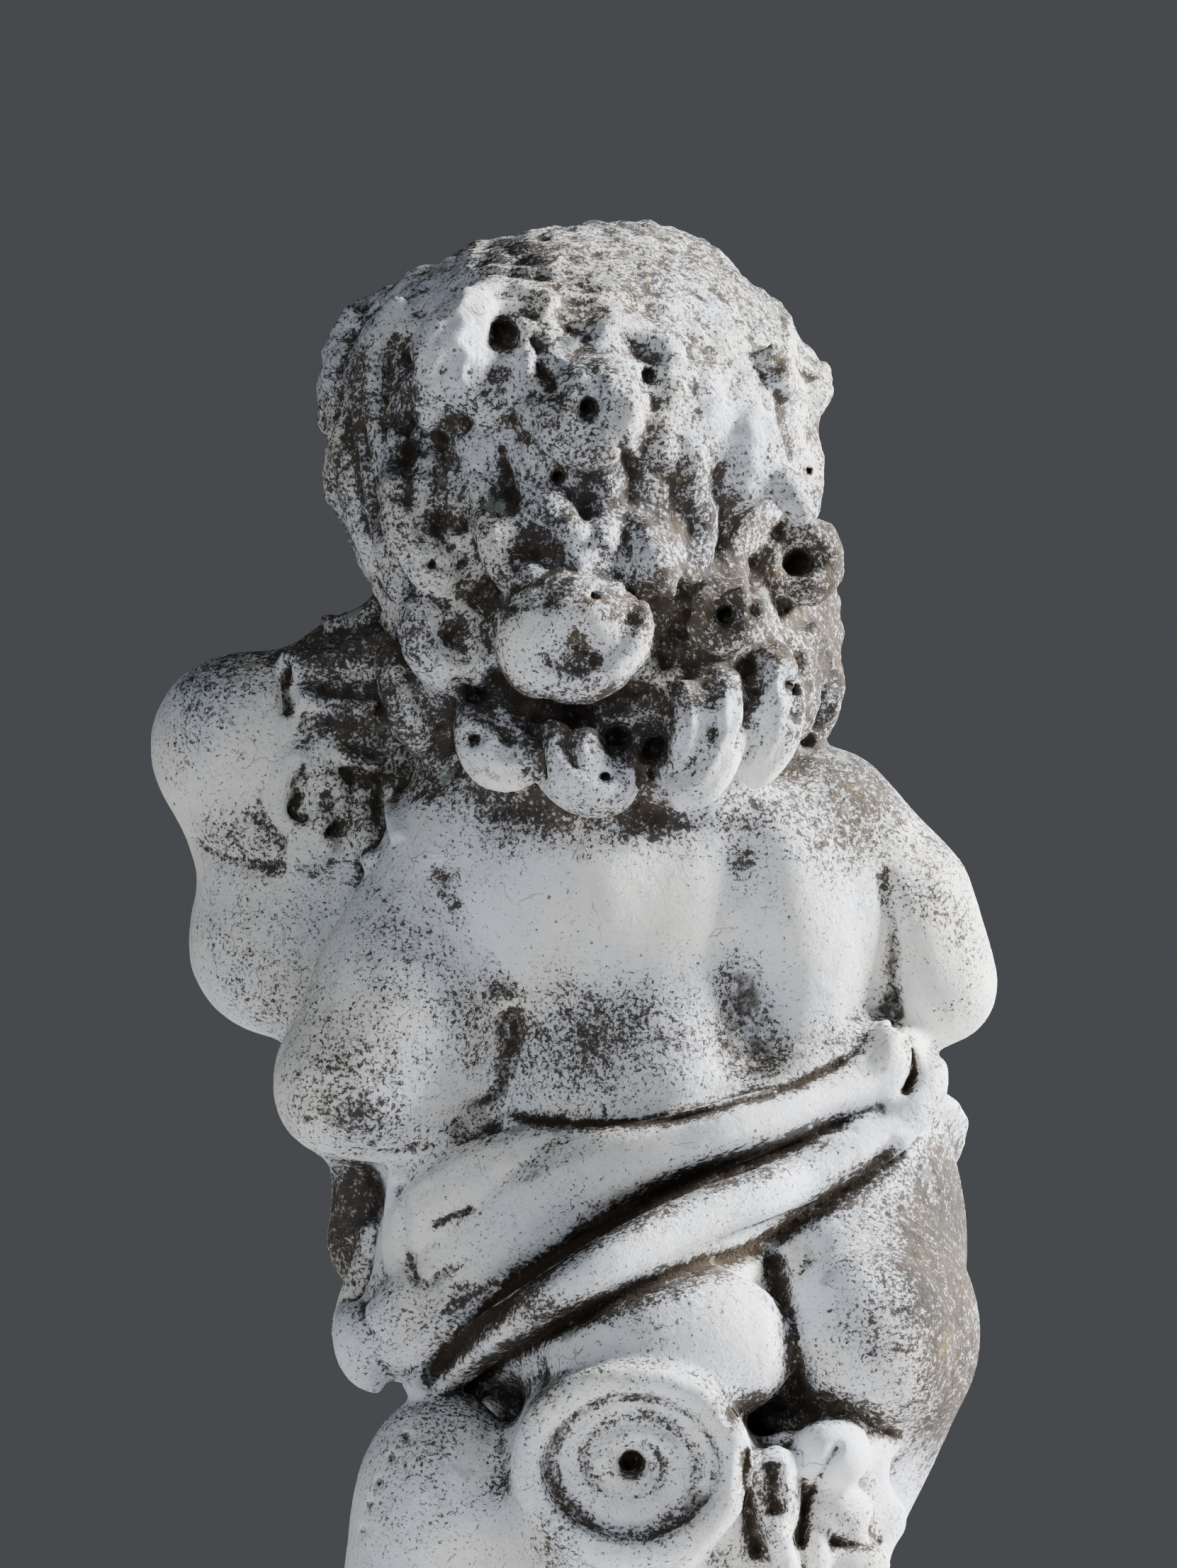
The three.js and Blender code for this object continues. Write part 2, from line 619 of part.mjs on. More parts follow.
function thin({ points, triangles }, wanted) {
  const faces = triangles.map((face) => face.slice());
  const around = points.map(() => new Set());
  const quadrics = points.map(() => new Float64Array(10));
  const version = new Int32Array(points.length);
  const cross = (p, q, r) => {
    const [ux, uy, uz] = [q[0] - p[0], q[1] - p[1], q[2] - p[2]];
    const [vx, vy, vz] = [r[0] - p[0], r[1] - p[1], r[2] - p[2]];
    return [uy * vz - uz * vy, uz * vx - ux * vz, ux * vy - uy * vx];
  };
  const addPlane = (quadric, [a, b, c, d], weight) => {
    const terms = [a * a, a * b, a * c, a * d, b * b, b * c, b * d, c * c, c * d, d * d];
    for (let i = 0; i < 10; i += 1) quadric[i] += terms[i] * weight;
  };
  faces.forEach((face, index) => {
    const [p, q, r] = face.map((corner) => points[corner]);
    const normal = cross(p, q, r);
    const area = hypot(...normal) || 1e-12;
    const [a, b, c] = normal.map((value) => value / area);
    const plane = [a, b, c, -(a * p[0] + b * p[1] + c * p[2])];
    face.forEach((corner) => {
      around[corner].add(index);
      addPlane(quadrics[corner], plane, area);
      const [x, y, z] = points[corner];
      addPlane(quadrics[corner], [1, 0, 0, -x], area * EVEN_PULL);
      addPlane(quadrics[corner], [0, 1, 0, -y], area * EVEN_PULL);
      addPlane(quadrics[corner], [0, 0, 1, -z], area * EVEN_PULL);
    });
  });
  const costAt = (q, [x, y, z]) => q[0] * x * x + 2 * q[1] * x * y + 2 * q[2] * x * z + 2 * q[3] * x
    + q[4] * y * y + 2 * q[5] * y * z + 2 * q[6] * y + q[7] * z * z + 2 * q[8] * z + q[9];
  const bestPlace = (q, a, b) => {
    const det = q[0] * (q[4] * q[7] - q[5] * q[5]) - q[1] * (q[1] * q[7] - q[5] * q[2])
      + q[2] * (q[1] * q[5] - q[4] * q[2]);
    const half = points[a].map((value, k) => (value + points[b][k]) / 2);
    if (abs(det) < 1e-9) return half;
    const [r, s, t] = [-q[3], -q[6], -q[8]];
    const x = (r * (q[4] * q[7] - q[5] * q[5]) - q[1] * (s * q[7] - q[5] * t)
      + q[2] * (s * q[5] - q[4] * t)) / det;
    const y = (q[0] * (s * q[7] - q[5] * t) - r * (q[1] * q[7] - q[5] * q[2])
      + q[2] * (q[1] * t - s * q[2])) / det;
    const z = (q[0] * (q[4] * t - s * q[5]) - q[1] * (q[1] * t - s * q[2])
      + r * (q[1] * q[5] - q[4] * q[2])) / det;
    const span = hypot(...points[a].map((value, k) => value - points[b][k]));
    return hypot(x - half[0], y - half[1], z - half[2]) < 2 * span ? [x, y, z] : half;
  };
  const queue = new Queue();
  const offer = (a, b) => {
    const quadric = quadrics[a].map((value, k) => value + quadrics[b][k]);
    const to = bestPlace(quadric, a, b);
    const cost = max(costAt(quadric, to), 0);
    queue.push({ a, b, to, quadric, cost, versions: version[a] + version[b] * NEXT_VERSION });
  };
  const neighbours = (corner) => {
    const found = new Set();
    around[corner].forEach((index) => faces[index].forEach((other) => found.add(other)));
    found.delete(corner);
    return found;
  };
  const staysUpright = (corner, other, to) => [...around[corner]].every((index) => {
    if (faces[index].includes(other)) return true;
    const before = cross(...faces[index].map((k) => points[k]));
    const after = cross(...faces[index].map((k) => (k === corner ? to : points[k])));
    const dot = before[0] * after[0] + before[1] * after[1] + before[2] * after[2];
    const sizes = hypot(...before) * hypot(...after);
    return dot > 0.25 * sizes && hypot(...after) > 1e-3;
  });
  points.forEach((_, a) => neighbours(a).forEach((b) => {
    if (a < b) offer(a, b);
  }));
  let left = faces.length;
  while (left > wanted && queue.items.length > 0) {
    const { a, b, to, quadric, versions } = queue.pop();
    const stale = versions !== version[a] + version[b] * NEXT_VERSION;
    if (stale || around[a].size === 0 || around[b].size === 0) continue;
    const nearB = neighbours(b);
    const shared = [...neighbours(a)].filter((corner) => nearB.has(corner));
    if (shared.length !== 2 || !staysUpright(a, b, to) || !staysUpright(b, a, to)) continue;
    points[a] = to;
    quadrics[a] = quadric;
    version[a] += 1;
    [...around[b]].forEach((index) => {
      if (faces[index].includes(a)) {
        faces[index].forEach((corner) => around[corner].delete(index));
        faces[index] = null;
        left -= 1;
      } else {
        faces[index] = faces[index].map((corner) => (corner === b ? a : corner));
        around[a].add(index);
      }
    });
    around[b].clear();
    neighbours(a).forEach((corner) => offer(a, corner));
  }
  return { points, triangles: faces.filter((face) => face !== null) };
}

// ---------------------------------------------------------------- closed solids
const wasm = await Module();
wasm.setup();

function solidOf({ points, triangles }) {
  const numbers = new Map();
  const kept = [];
  const triVerts = triangles.flat().map((corner) => {
    if (!numbers.has(corner)) {
      numbers.set(corner, numbers.size);
      kept.push(...points[corner]);
    }
    return numbers.get(corner);
  });
  const mesh = new wasm.Mesh({
    numProp: 3,
    vertProperties: new Float32Array(kept),
    triVerts: new Uint32Array(triVerts),
  });
  mesh.merge();
  return new wasm.Manifold(mesh);
}

function solidOfGeometry(geometry) {
  const flat = geometry.index ? geometry.toNonIndexed() : geometry;
  const position = flat.getAttribute('position');
  const byPlace = new Map();
  const points = [];
  const corners = [];
  for (let i = 0; i < position.count; i += 1) {
    const point = [position.getX(i), position.getY(i), position.getZ(i)];
    const key = point.map((value) => value.toFixed(3)).join();
    if (!byPlace.has(key)) {
      byPlace.set(key, points.length);
      points.push(point);
    }
    corners.push(byPlace.get(key));
  }
  const triangles = [];
  for (let i = 0; i < corners.length; i += 3) triangles.push(corners.slice(i, i + 3));
  return solidOf({ points, triangles: triangles.filter(([a, b, c]) => a !== b && b !== c && a !== c) });
}

// The plinth: a slab with rounded corners and a small chamfer.
function plinthGeometry({ width, depth, height, corner, chamfer }) {
  const x = width / 2 - chamfer;
  const y = depth / 2 - chamfer;
  const r = corner - chamfer;
  const outline = new THREE.Shape();
  outline.moveTo(x, y - r);
  outline.absarc(x - r, y - r, r, 0, PI / 2);
  outline.absarc(r - x, y - r, r, PI / 2, PI);
  outline.absarc(r - x, r - y, r, PI, 1.5 * PI);
  outline.absarc(x - r, r - y, r, 1.5 * PI, 2 * PI);
  outline.closePath();
  const slab = new THREE.ExtrudeGeometry(outline, {
    depth: height - 2 * chamfer,
    bevelEnabled: true,
    bevelThickness: chamfer,
    bevelSize: chamfer,
    bevelSegments: 1,
    curveSegments: 6,
  });
  return slab.translate(0, 0, chamfer);
}

const figure = solidOf(thin(relax(skinOf(statue, LIMITS, CELL), 3, 0.5), TRIANGLES));
const plinth = solidOfGeometry(plinthGeometry(PLINTH));
const carving = figure.add(plinth);

function meshOf(solid, name, material) {
  const { vertProperties, triVerts } = solid.getMesh();
  const geometry = new THREE.BufferGeometry();
  geometry.setAttribute('position', new THREE.BufferAttribute(vertProperties, 3));
  geometry.setIndex(new THREE.BufferAttribute(triVerts, 1));
  geometry.computeVertexNormals();
  const mesh = new THREE.Mesh(geometry, material);
  mesh.name = name;
  return mesh;
}

const stone = new THREE.MeshStandardMaterial({ color: 0xbfc0c2, roughness: 0.92, metalness: 0 });
const statueGroup = new THREE.Group();
statueGroup.add(meshOf(carving, 'putto_statue', stone));

export default statueGroup;
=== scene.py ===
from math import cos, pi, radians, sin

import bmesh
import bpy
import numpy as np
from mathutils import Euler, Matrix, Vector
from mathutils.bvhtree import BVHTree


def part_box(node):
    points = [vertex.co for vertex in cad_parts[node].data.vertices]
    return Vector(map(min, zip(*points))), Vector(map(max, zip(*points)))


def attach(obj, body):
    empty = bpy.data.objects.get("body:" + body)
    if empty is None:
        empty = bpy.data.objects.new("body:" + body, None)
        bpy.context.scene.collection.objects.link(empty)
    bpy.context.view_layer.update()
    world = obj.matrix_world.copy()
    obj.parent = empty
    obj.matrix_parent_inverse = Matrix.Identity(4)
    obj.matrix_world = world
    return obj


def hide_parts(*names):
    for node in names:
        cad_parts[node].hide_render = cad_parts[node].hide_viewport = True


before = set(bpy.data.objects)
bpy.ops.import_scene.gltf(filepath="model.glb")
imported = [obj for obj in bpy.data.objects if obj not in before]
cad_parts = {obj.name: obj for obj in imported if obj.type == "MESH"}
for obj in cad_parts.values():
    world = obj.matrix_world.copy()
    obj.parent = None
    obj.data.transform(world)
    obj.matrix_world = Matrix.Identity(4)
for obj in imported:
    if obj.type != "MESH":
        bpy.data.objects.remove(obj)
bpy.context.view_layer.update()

# A weathered stone putto, carved in one piece with its scroll support and low plinth. The packed
# solid is taken as the roughed-out stone: it is evened out, locks, folds, fingers and leaves are
# laid on as closed tubes and eggs, everything is fused by a voxel remesh, and grooves and drill
# holes are cut. Lengths are in millimetres of the statue, from the middle of the plinth's
# underside: +x the figure's left, -y its front, +z up. Details of the back are placed by the x
# and z at which an onlooker three metres behind the statue sees them.

NODE = "putto_statue"
STATUE_HEIGHT = 858.567
node_low, node_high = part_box(NODE)
MM = (node_high.z - node_low.z) / STATUE_HEIGHT
ROUGH_VOXEL, LUMP_VOXEL, FINE_VOXEL = 3.0, 2.4, 1.7
MOST_TRIANGLES = 195000
PLINTH_TOP = 46
WELD = 0.02
TOWARDS_BACK = Vector((0, 1, 0))
IN_FRONT = -320  # the y of a plane in front of the whole statue
FAR_OUT = 300  # further from the head's middle than any of its skin
BACK_HALF = -35  # the y behind which channels are cut
DRILL_REACH = 14
CHANNEL_FADE = 0.12  # the share of a channel's length over which each end runs out


def at(x, y, z):
    """A point of the statue, in metres of the frame."""
    return Vector((x * MM, y * MM, node_low.z + z * MM))


EYE_X, EYE_Y, EYE_Z = 21, 3060, 614
ONLOOKER = at(EYE_X, EYE_Y, EYE_Z)
SEEN_PLANE = 60  # the upright plane, in y, on which the onlooker's x and z are measured


def mix(a, b, share):
    return a + (b - a) * share


# ---------------- workshop tools
def pick(*pieces):
    bpy.ops.object.select_all(action="DESELECT")
    for piece in pieces:
        piece.select_set(True)
    bpy.context.view_layer.objects.active = pieces[0]


def modify(piece, kind, **settings):
    """Adds one modifier and applies it."""
    pick(piece)
    modifier = piece.modifiers.new(kind.title(), kind)
    for name, value in settings.items():
        setattr(modifier, name, value)
    bpy.ops.object.modifier_apply(modifier=modifier.name)
    return piece


def fuse(pieces, voxel):
    """Joins closed pieces and gives them one new skin."""
    pick(*pieces)
    if len(pieces) > 1:
        bpy.ops.object.join()
    return modify(pieces[0], "REMESH", mode="VOXEL", voxel_size=voxel * MM, adaptivity=0.0)


def read(items, name, width, kind=float):
    """One property of all points or edges of a mesh, as an array of rows."""
    values = np.empty(len(items) * width, dtype=kind)
    items.foreach_get(name, values)
    return values.reshape(-1, width)


def one_shell(piece):
    """Keeps only the largest connected shell of a piece."""
    mesh = piece.data
    ends = read(mesh.edges, "vertices", 2, np.int32).T
    shell = np.arange(len(mesh.vertices))
    while True:
        low, high = np.sort(shell[ends], axis=0)
        if np.array_equal(low, high):
            break
        np.minimum.at(shell, high, low)
        shell = shell[shell]
    loose = np.nonzero(shell != np.bincount(shell).argmax())[0]
    work = bmesh.new()
    work.from_mesh(mesh)
    work.verts.ensure_lookup_table()
    bmesh.ops.delete(work, geom=[work.verts[i] for i in loose], context="VERTS")
    work.to_mesh(mesh)
    work.free()
    return piece


def tubes(name, routes):
    """One object of closed round tubes. A route is a list of (point, radius in mm)."""
    bpy.ops.curve.primitive_nurbs_path_add()
    piece = bpy.context.object
    piece.name = name
    curve = piece.data
    curve.splines.clear()
    curve.dimensions = "3D"
    curve.bevel_depth = MM
    curve.bevel_resolution = 3
    curve.use_fill_caps = True
    for route in routes:
        spline = curve.splines.new("POLY")
        spline.points.add(len(route) - 1)
        for bead, (place, radius) in zip(spline.points, route):
            bead.co = (*place, 1.0)
            bead.radius = radius
    pick(piece)
    bpy.ops.object.convert(target="MESH")
    return bpy.context.object


def egg(name, place, radii):
    """An egg-shaped lump; `place` is the matrix of its middle, `radii` are in mm."""
    bpy.ops.mesh.primitive_uv_sphere_add(segments=28, ring_count=18, radius=1.0)
    piece = bpy.context.object
    piece.name = name
    piece.data.transform(place @ Matrix.Diagonal((*[r * MM for r in radii], 1.0)))
    return piece


def smooth_route(points, steps):
    """A smooth run through given points, each (Vector, radius)."""
    padded = [points[0], *points, points[-1]]
    route = []
    for i in range(len(points) - 1):
        a, b, c, d = (np.array([*place, radius]) for place, radius in padded[i : i + 4])
        for k in range(steps):
            t = k / steps
            bead = 0.5 * (
                2 * b + (c - a) * t + (2 * a - 5 * b + 4 * c - d) * t * t
                + (3 * b - a - 3 * c + d) * t ** 3
            )
            route.append((Vector(bead[:3]), float(bead[3])))
    route.append(points[-1])
    return route


def flat_route(points):
    """A smooth run through (x, z) points, as an array."""
    beads = smooth_route([(Vector((x, 0, z)), 1.0) for x, z in points], 5)
    return np.array([(place.x, place.z) for place, _ in beads])


def nearest(places, line):
    """How far each place is from a line of points, and how far along it that is (0 to 1)."""
    best = np.full(len(places), 1e9)
    along = np.zeros(len(places))
    for i in range(len(line) - 1):
        step = line[i + 1] - line[i]
        t = np.clip((places - line[i]) @ step / max(step @ step, 1e-12), 0, 1)
        gap = np.linalg.norm(places - line[i] - t[:, None] * step, axis=1)
        closer = gap < best
        best[closer] = gap[closer]
        along[closer] = (i + t[closer]) / (len(line) - 1)
    return best, along


def faded(along, fade):
    """1 along a run, falling to 0 at both its ends."""
    return np.clip(np.minimum(along, 1 - along) / fade, 0, 1)


class Surface:
    """Finds places on a piece's skin, all of it or only what lies near a point."""

    def __init__(self, piece, centre=None, reach=0.0):
        mesh = piece.data
        places = [vertex.co for vertex in mesh.vertices]
        faces = [tuple(face.vertices) for face in mesh.polygons
                 if centre is None or (face.center - centre).length < reach * MM]
        self.tree = BVHTree.FromPolygons(places, faces)

    def seen(self, x, z):
        """The place that the onlooker sees at x, z, or None."""
        return self.tree.ray_cast(ONLOOKER, (at(x, SEEN_PLANE, z) - ONLOOKER).normalized())[0]

    def from_front(self, x, z):
        """The skin met at x, z on the way in from the front, or None."""
        return self.tree.ray_cast(at(x, IN_FRONT, z), TOWARDS_BACK)[0]

    def inward(self, middle, look):
        """The skin met on the way from far out towards `middle`, or None."""
        return self.tree.ray_cast(middle - look * FAR_OUT * MM, look)[0]


class Clay:
    """The points of a fine mesh as arrays, to carve and smooth them."""

    def __init__(self, piece):
        self.mesh = piece.data
        self.points = read(self.mesh.vertices, "co", 3)
        self.normals = read(self.mesh.vertices, "normal", 3)
        self.edges = read(self.mesh.edges, "vertices", 2, np.int32)
        self.degree = np.bincount(self.edges.ravel(), minlength=len(self.points)).astype(float)

    def in_mm(self):
        """The points in the statue's millimetres."""
        return (self.points - np.array([0, 0, node_low.z])) / MM

    def seen(self):
        """The x and z at which the onlooker sees each point, in mm."""
        place = self.in_mm()
        reach = (EYE_Y - SEEN_PLANE) / (EYE_Y - place[:, 1])
        return EYE_X + (place[:, 0] - EYE_X) * reach, EYE_Z + (place[:, 2] - EYE_Z) * reach

    def spread(self, values):
        """The mean of each point's neighbours."""
        a, b = self.edges.T
        count = len(self.points)
        columns = values.reshape(count, -1)
        out = np.empty_like(columns)
        for k in range(columns.shape[1]):
            column = columns[:, k]
            out[:, k] = np.bincount(a, column[b], count) + np.bincount(b, column[a], count)
        return (out / self.degree[:, None]).reshape(values.shape)

    def soften(self, passes, share, where=None):
        """Moves each point by a share of the way to the mean of its neighbours, some passes over."""
        weight = share if where is None else (share * where)[:, None]
        for _ in range(passes):
            self.points += (self.spread(self.points) - self.points) * weight

    def near(self, route, reach):
        """Which points lie within `reach` of a route, how far, and how far along it."""
        line = np.array([place for place, _ in route])
        box = (self.points > line.min(0) - reach) & (self.points < line.max(0) + reach)
        index = np.nonzero(np.all(box, axis=1))[0]
        gap, along = nearest(self.points[index], line)
        keep = gap < reach
        return index[keep], gap[keep], along[keep]

    def groove(self, route, width, depth, fade=0.15):
        """Cuts a groove along a route."""
        index, gap, along = self.near(route, width * 2.2 * MM)
        cut = depth * MM * np.exp(-((gap / (width * MM)) ** 2)) * faded(along, fade)
        self.points[index] -= self.normals[index] * cut[:, None]

    def channel(self, points, width):
        """How near each point lies to a run of (x, z) as the onlooker sees it, from 0 to 1.

        Only what turns to the back counts, and what lies in the back half of the statue.
        """
        places = np.stack(self.seen(), axis=1)
        line = flat_route(points)
        reach = width * 2.5
        box = (places > line.min(0) - reach) & (places < line.max(0) + reach)
        index = np.nonzero(np.all(box, axis=1))[0]
        gap, along = nearest(places[index], line)
        facing = np.clip(self.normals[index, 1] * 3 + 0.4, 0, 1)
        behind = np.clip((self.points[index, 1] / MM - BACK_HALF) / 15, 0, 1)
        share = np.zeros(len(self.points))
        share[index] = np.exp(-((gap / width) ** 2)) * faded(along, CHANNEL_FADE) * facing * behind
        return share

    def press(self, points, width, depth):
        """Presses a channel straight in, away from the onlooker."""
        share = self.channel(points, width)
        look = self.points - np.array(ONLOOKER)
        look /= np.linalg.norm(look, axis=1)[:, None]
        self.points += look * (depth * MM * share)[:, None]

    def dent(self, place, look, radius, depth):
        """Presses a soft hollow into the skin."""
        gap = np.linalg.norm(self.points - np.array(place), axis=1)
        inside = gap < radius * 2.4 * MM
        shape = np.exp(-((gap[inside] / (radius * MM)) ** 2))
        self.points[inside] += np.array(look) * (depth * MM * shape)[:, None]

    def drill(self, place, look, radius, depth):
        """Pushes a round hole into the skin."""
        axis = np.array(look)
        offset = self.points - np.array(place)
        run = offset @ axis
        gap = np.linalg.norm(offset - run[:, None] * axis, axis=1)
        inside = (gap < radius * 1.5 * MM) & (abs(run) < DRILL_REACH * MM)
        inside &= self.normals @ axis < 0.3
        shape = np.clip(1.5 - gap[inside] / (radius * MM), 0, 1)
        self.points[inside] += axis * (depth * MM * np.minimum(shape * 1.4, 1.0))[:, None]

    def write(self):
        """Gives the mesh its carved points, and reads its new normals."""
        self.mesh.vertices.foreach_set("co", self.points.ravel())
        self.mesh.update()
        self.normals = read(self.mesh.vertices, "normal", 3)


def ripple(points, size, seed):
    """Smooth seeded waves of about -1 to 1, `size` in mm, at an array of points in mm."""
    random = np.random.default_rng(seed)
    total = np.zeros(len(points))
    weight = 1.0
    for _ in range(2):
        waves = random.normal(size=(7, 3))
        waves *= (2 * pi / size) / np.linalg.norm(waves, axis=1)[:, None]
        starts = random.uniform(0, 2 * pi, 7)
        total += weight * np.sin(points @ waves.T + starts).sum(1) / 3.0
        size /= 2.1
        weight *= 0.55
    return total


# ---------------- the roughed-out stone
def roughed_out():
    rough = bpy.data.objects.new("statue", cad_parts[NODE].data.copy())
    bpy.context.scene.collection.objects.link(rough)
    pick(rough)
    bpy.ops.object.mode_set(mode="EDIT")
    bpy.ops.mesh.select_all(action="SELECT")
    bpy.ops.mesh.remove_doubles(threshold=WELD * MM)
    bpy.ops.object.mode_set(mode="OBJECT")
    rough.data.materials.clear()
    fuse([rough], ROUGH_VOXEL)
    clay = Clay(rough)
    above = np.clip((clay.points[:, 2] - at(0, 0, PLINTH_TOP).z) / (6 * MM), 0, 1)
    clay.soften(9, 0.6, above)
    clay.write()
    return rough


def laid(surface, points, lift=0.25, steps=5, drop=16):
    """A tube route over what the onlooker sees, through points (x, z, radius) or (x, z, radius, lift).

    The lift is in radii. Where the skin falls away by more than `drop` mm, the route keeps its depth.
    """
    beads = [(*point, lift)[:4] for point in points]
    flat = smooth_route([(Vector((x, rise, z)), radius) for x, z, radius, rise in beads], steps)
    route = []
    depth = None
    for bead, radius in flat:
        hit = surface.seen(bead.x, bead.z)
        reach = at(bead.x, SEEN_PLANE, bead.z) - ONLOOKER
        if hit is None or (depth is not None and hit.y < depth - drop * MM):
            share = (ONLOOKER.y - (depth if depth is not None else 0.0)) / -reach.y
            place = ONLOOKER + reach * share
        else:
            place = hit
            depth = place.y if depth is None else mix(depth, place.y, 0.6)
        route.append((place - reach.normalized() * radius * bead.y * MM, radius))
    return route


def coil(x, z, reach, start, turn, thick, shrink):
    """Points of a curl for `laid`. Angles in degrees, anticlockwise from the onlooker's right."""
    count = max(5, int(abs(turn) / 32))
    points = []
    for i in range(count + 1):
        t = i / count
        angle = radians(start + turn * t)
        out = reach * mix(1.0, shrink, t)
        swell = 0.65 + 0.35 * sin(pi * min(1.0, 0.15 + t * 0.8))
        points.append((x - out * cos(angle), z + out * sin(angle), thick * swell))
    return points


# ---------------- hair
HEAD_MIDDLE = (22, -10, 735)
HEAD_REACH = 158  # skin within this of the middle can carry locks
HAIR_REACH = 142  # within this it counts as hair, above NECK_HEIGHT and off the face
NECK_HEIGHT = 596
NAPE_HEIGHT = 690  # below this the locks stand free
EVEN_HEIGHT = 660  # above this the hair is worn more and more evenly
CROWN_RISE = 60  # over this height locks and wear change to those of the crown
WORN_TEMPLE = (-92, 784)  # x, z
BROAD_LOCK = 7.5  # locks thicker than this bear chisel lines

# Locks on the back of the head, as runs of (x, z, radius).
LOCKS = [
    # the large hooked lock at the nape, and its tip
    [(0, 690, 4), (-1, 680, 6), (4, 669, 6), (14, 661, 5)],
    # the comma at the left, and the smaller ones beside it
    [(96, 764, 8), (99, 742, 9), (97, 722, 10), (89, 707, 10), (78, 701, 9), (71, 709, 8), (74, 721, 6)],
    [(70, 764, 7), (66, 745, 8), (62, 726, 8), (57, 708, 8), (50, 700, 7), (42, 705, 6)],
    [(92, 692, 8), (91, 676, 9.5), (83, 665, 10.5), (71, 662, 9), (63, 669, 6)],
    # the lowest row, left to right
    [(104, 672, 8), (100, 656, 10), (95, 641, 10), (88, 628, 6)],
    [(68, 650, 7), (68, 636, 10), (62, 624, 11.5), (51, 622, 10), (47, 636, 8)],
    [(36, 640, 8), (34, 624, 11.5), (24, 614, 13), (12, 613, 12), (6, 620, 8)],
    [(24, 634, 9), (22, 622, 10)],
    [(-37, 662, 6), (-37, 646, 9), (-34, 628, 10), (-25, 614, 10), (-13, 609, 7.5)],
    [(-21, 656, 6), (-23, 642, 8), (-20, 627, 8), (-11, 617, 6)],
    [(-54, 672, 8), (-60, 655, 10), (-59, 637, 10.5), (-51, 622, 9), (-44, 616, 6)],
    [(-44, 656, 6), (-45, 640, 7), (-42, 628, 6)],
    [(-70, 680, 7), (-78, 664, 8.5), (-78, 646, 8.5), (-70, 632, 6.5)],
    # curls with drilled centres on the right
    coil(-36, 686, 12, 60, -300, 7, 0.85),
    coil(-68, 708, 13, 110, -330, 7.5, 0.85),
    [(6, 731, 5), (-2, 718, 6.5), (-9, 706, 7.5), (-14, 697, 6)],
    [(-20, 742, 5.5), (-26, 726, 6.5), (-24, 710, 7), (-12, 690, 6)],
    # ringlets and columns on the right
    [(-60, 746, 5), (-66, 734, 7), (-72, 724, 6)],
    [(-16, 776, 6), (-22, 756, 7), (-24, 738, 6)],
    # the broad lock round the largest hole
    [(36, 812, 7), (48, 817, 9), (62, 816, 10), (76, 806, 11), (86, 792, 11), (90, 778, 9), (82, 768, 7)],
    [(72, 796, 8), (74, 784, 8), (64, 776, 8), (50, 780, 7)],
    # strands down the left edge
    [(98, 816, 7), (108, 800, 8.5), (111, 778, 8.5), (109, 752, 8.5), (105, 728, 8.5), (101, 706, 8),
     (98, 692, 6)],
    [(116, 812, 7), (125, 798, 7), (126, 776, 7), (122, 750, 6.5), (117, 726, 6), (110, 704, 6)],
    # the crown whorl
    coil(21, 772, 17, 170, 250, 7.5, 0.9),
    coil(21, 774, 9, 60, -300, 4.5, 0.7),
    [(20, 803, 5), (4, 806, 6), (-10, 797, 7), (-15, 784, 7.5), (-10, 768, 7.5), (-8, 750, 6)],
    [(46, 758, 6.5), (44, 742, 7.5), (36, 728, 7.5), (26, 716, 6)],
    [(14, 746, 6), (12, 730, 7), (16, 714, 6)],
    [(44, 796, 6), (46, 780, 6.5), (40, 764, 6)],
]

# Rounded masses seen from behind: x, z, half width, half height, thickness, share standing proud.
LUMPS = [
    # the large hooked lock, then the other locks of the nape and the left
    (29, 676, 34, 28, 22, 0.5), (28, 700, 30, 30, 20, 0.4), (57, 633, 14, 20, 14, 0.5),
    (23, 621, 20, 20, 16, 0.5), (-27, 634, 18, 28, 17, 0.45), (-53, 641, 13, 27, 13, 0.4),
    (95, 650, 12, 22, 12, 0.4), (79, 679, 17, 17, 13, 0.45), (85, 727, 17, 28, 13, 0.4),
    # crown and the upper back of the head
    (72, 790, 26, 22, 14, 0.3), (-44, 754, 18, 24, 14, 0.3), (-28, 770, 10, 24, 10, 0.35),
    (20, 770, 24, 24, 13, 0.35), (-8, 708, 12, 15, 11, 0.4), (48, 718, 15, 18, 11, 0.4),
    (-37, 686, 16, 17, 13, 0.5), (-66, 708, 16, 18, 13, 0.4),
    # buttocks, and what fills the parting between them
    (-14, 376, 53, 36, 26, 0.32), (-97, 379, 37, 40, 26, 0.22), (-64, 388, 15, 36, 13, 0.55),
    (-70, 352, 22, 16, 16, 0.6),
    # leaves
    (-82, 331, 17, 15, 17, 0.75), (-86, 306, 14, 11, 13, 0.75), (-58, 313, 11, 22, 13, 0.75),
    (-90, 284, 17, 12, 12, 0.5), (-62, 284, 9, 12, 10, 0.5),
]


def settled(x, z, radius):
    """Locks stand free at the nape; higher up they are broad and lie deep in the mass."""
    height = min(1.0, max(0.0, (z - NAPE_HEIGHT) / CROWN_RISE))
    return x, z, radius * mix(1.05, 1.25, height), mix(-0.05, -0.4, height)


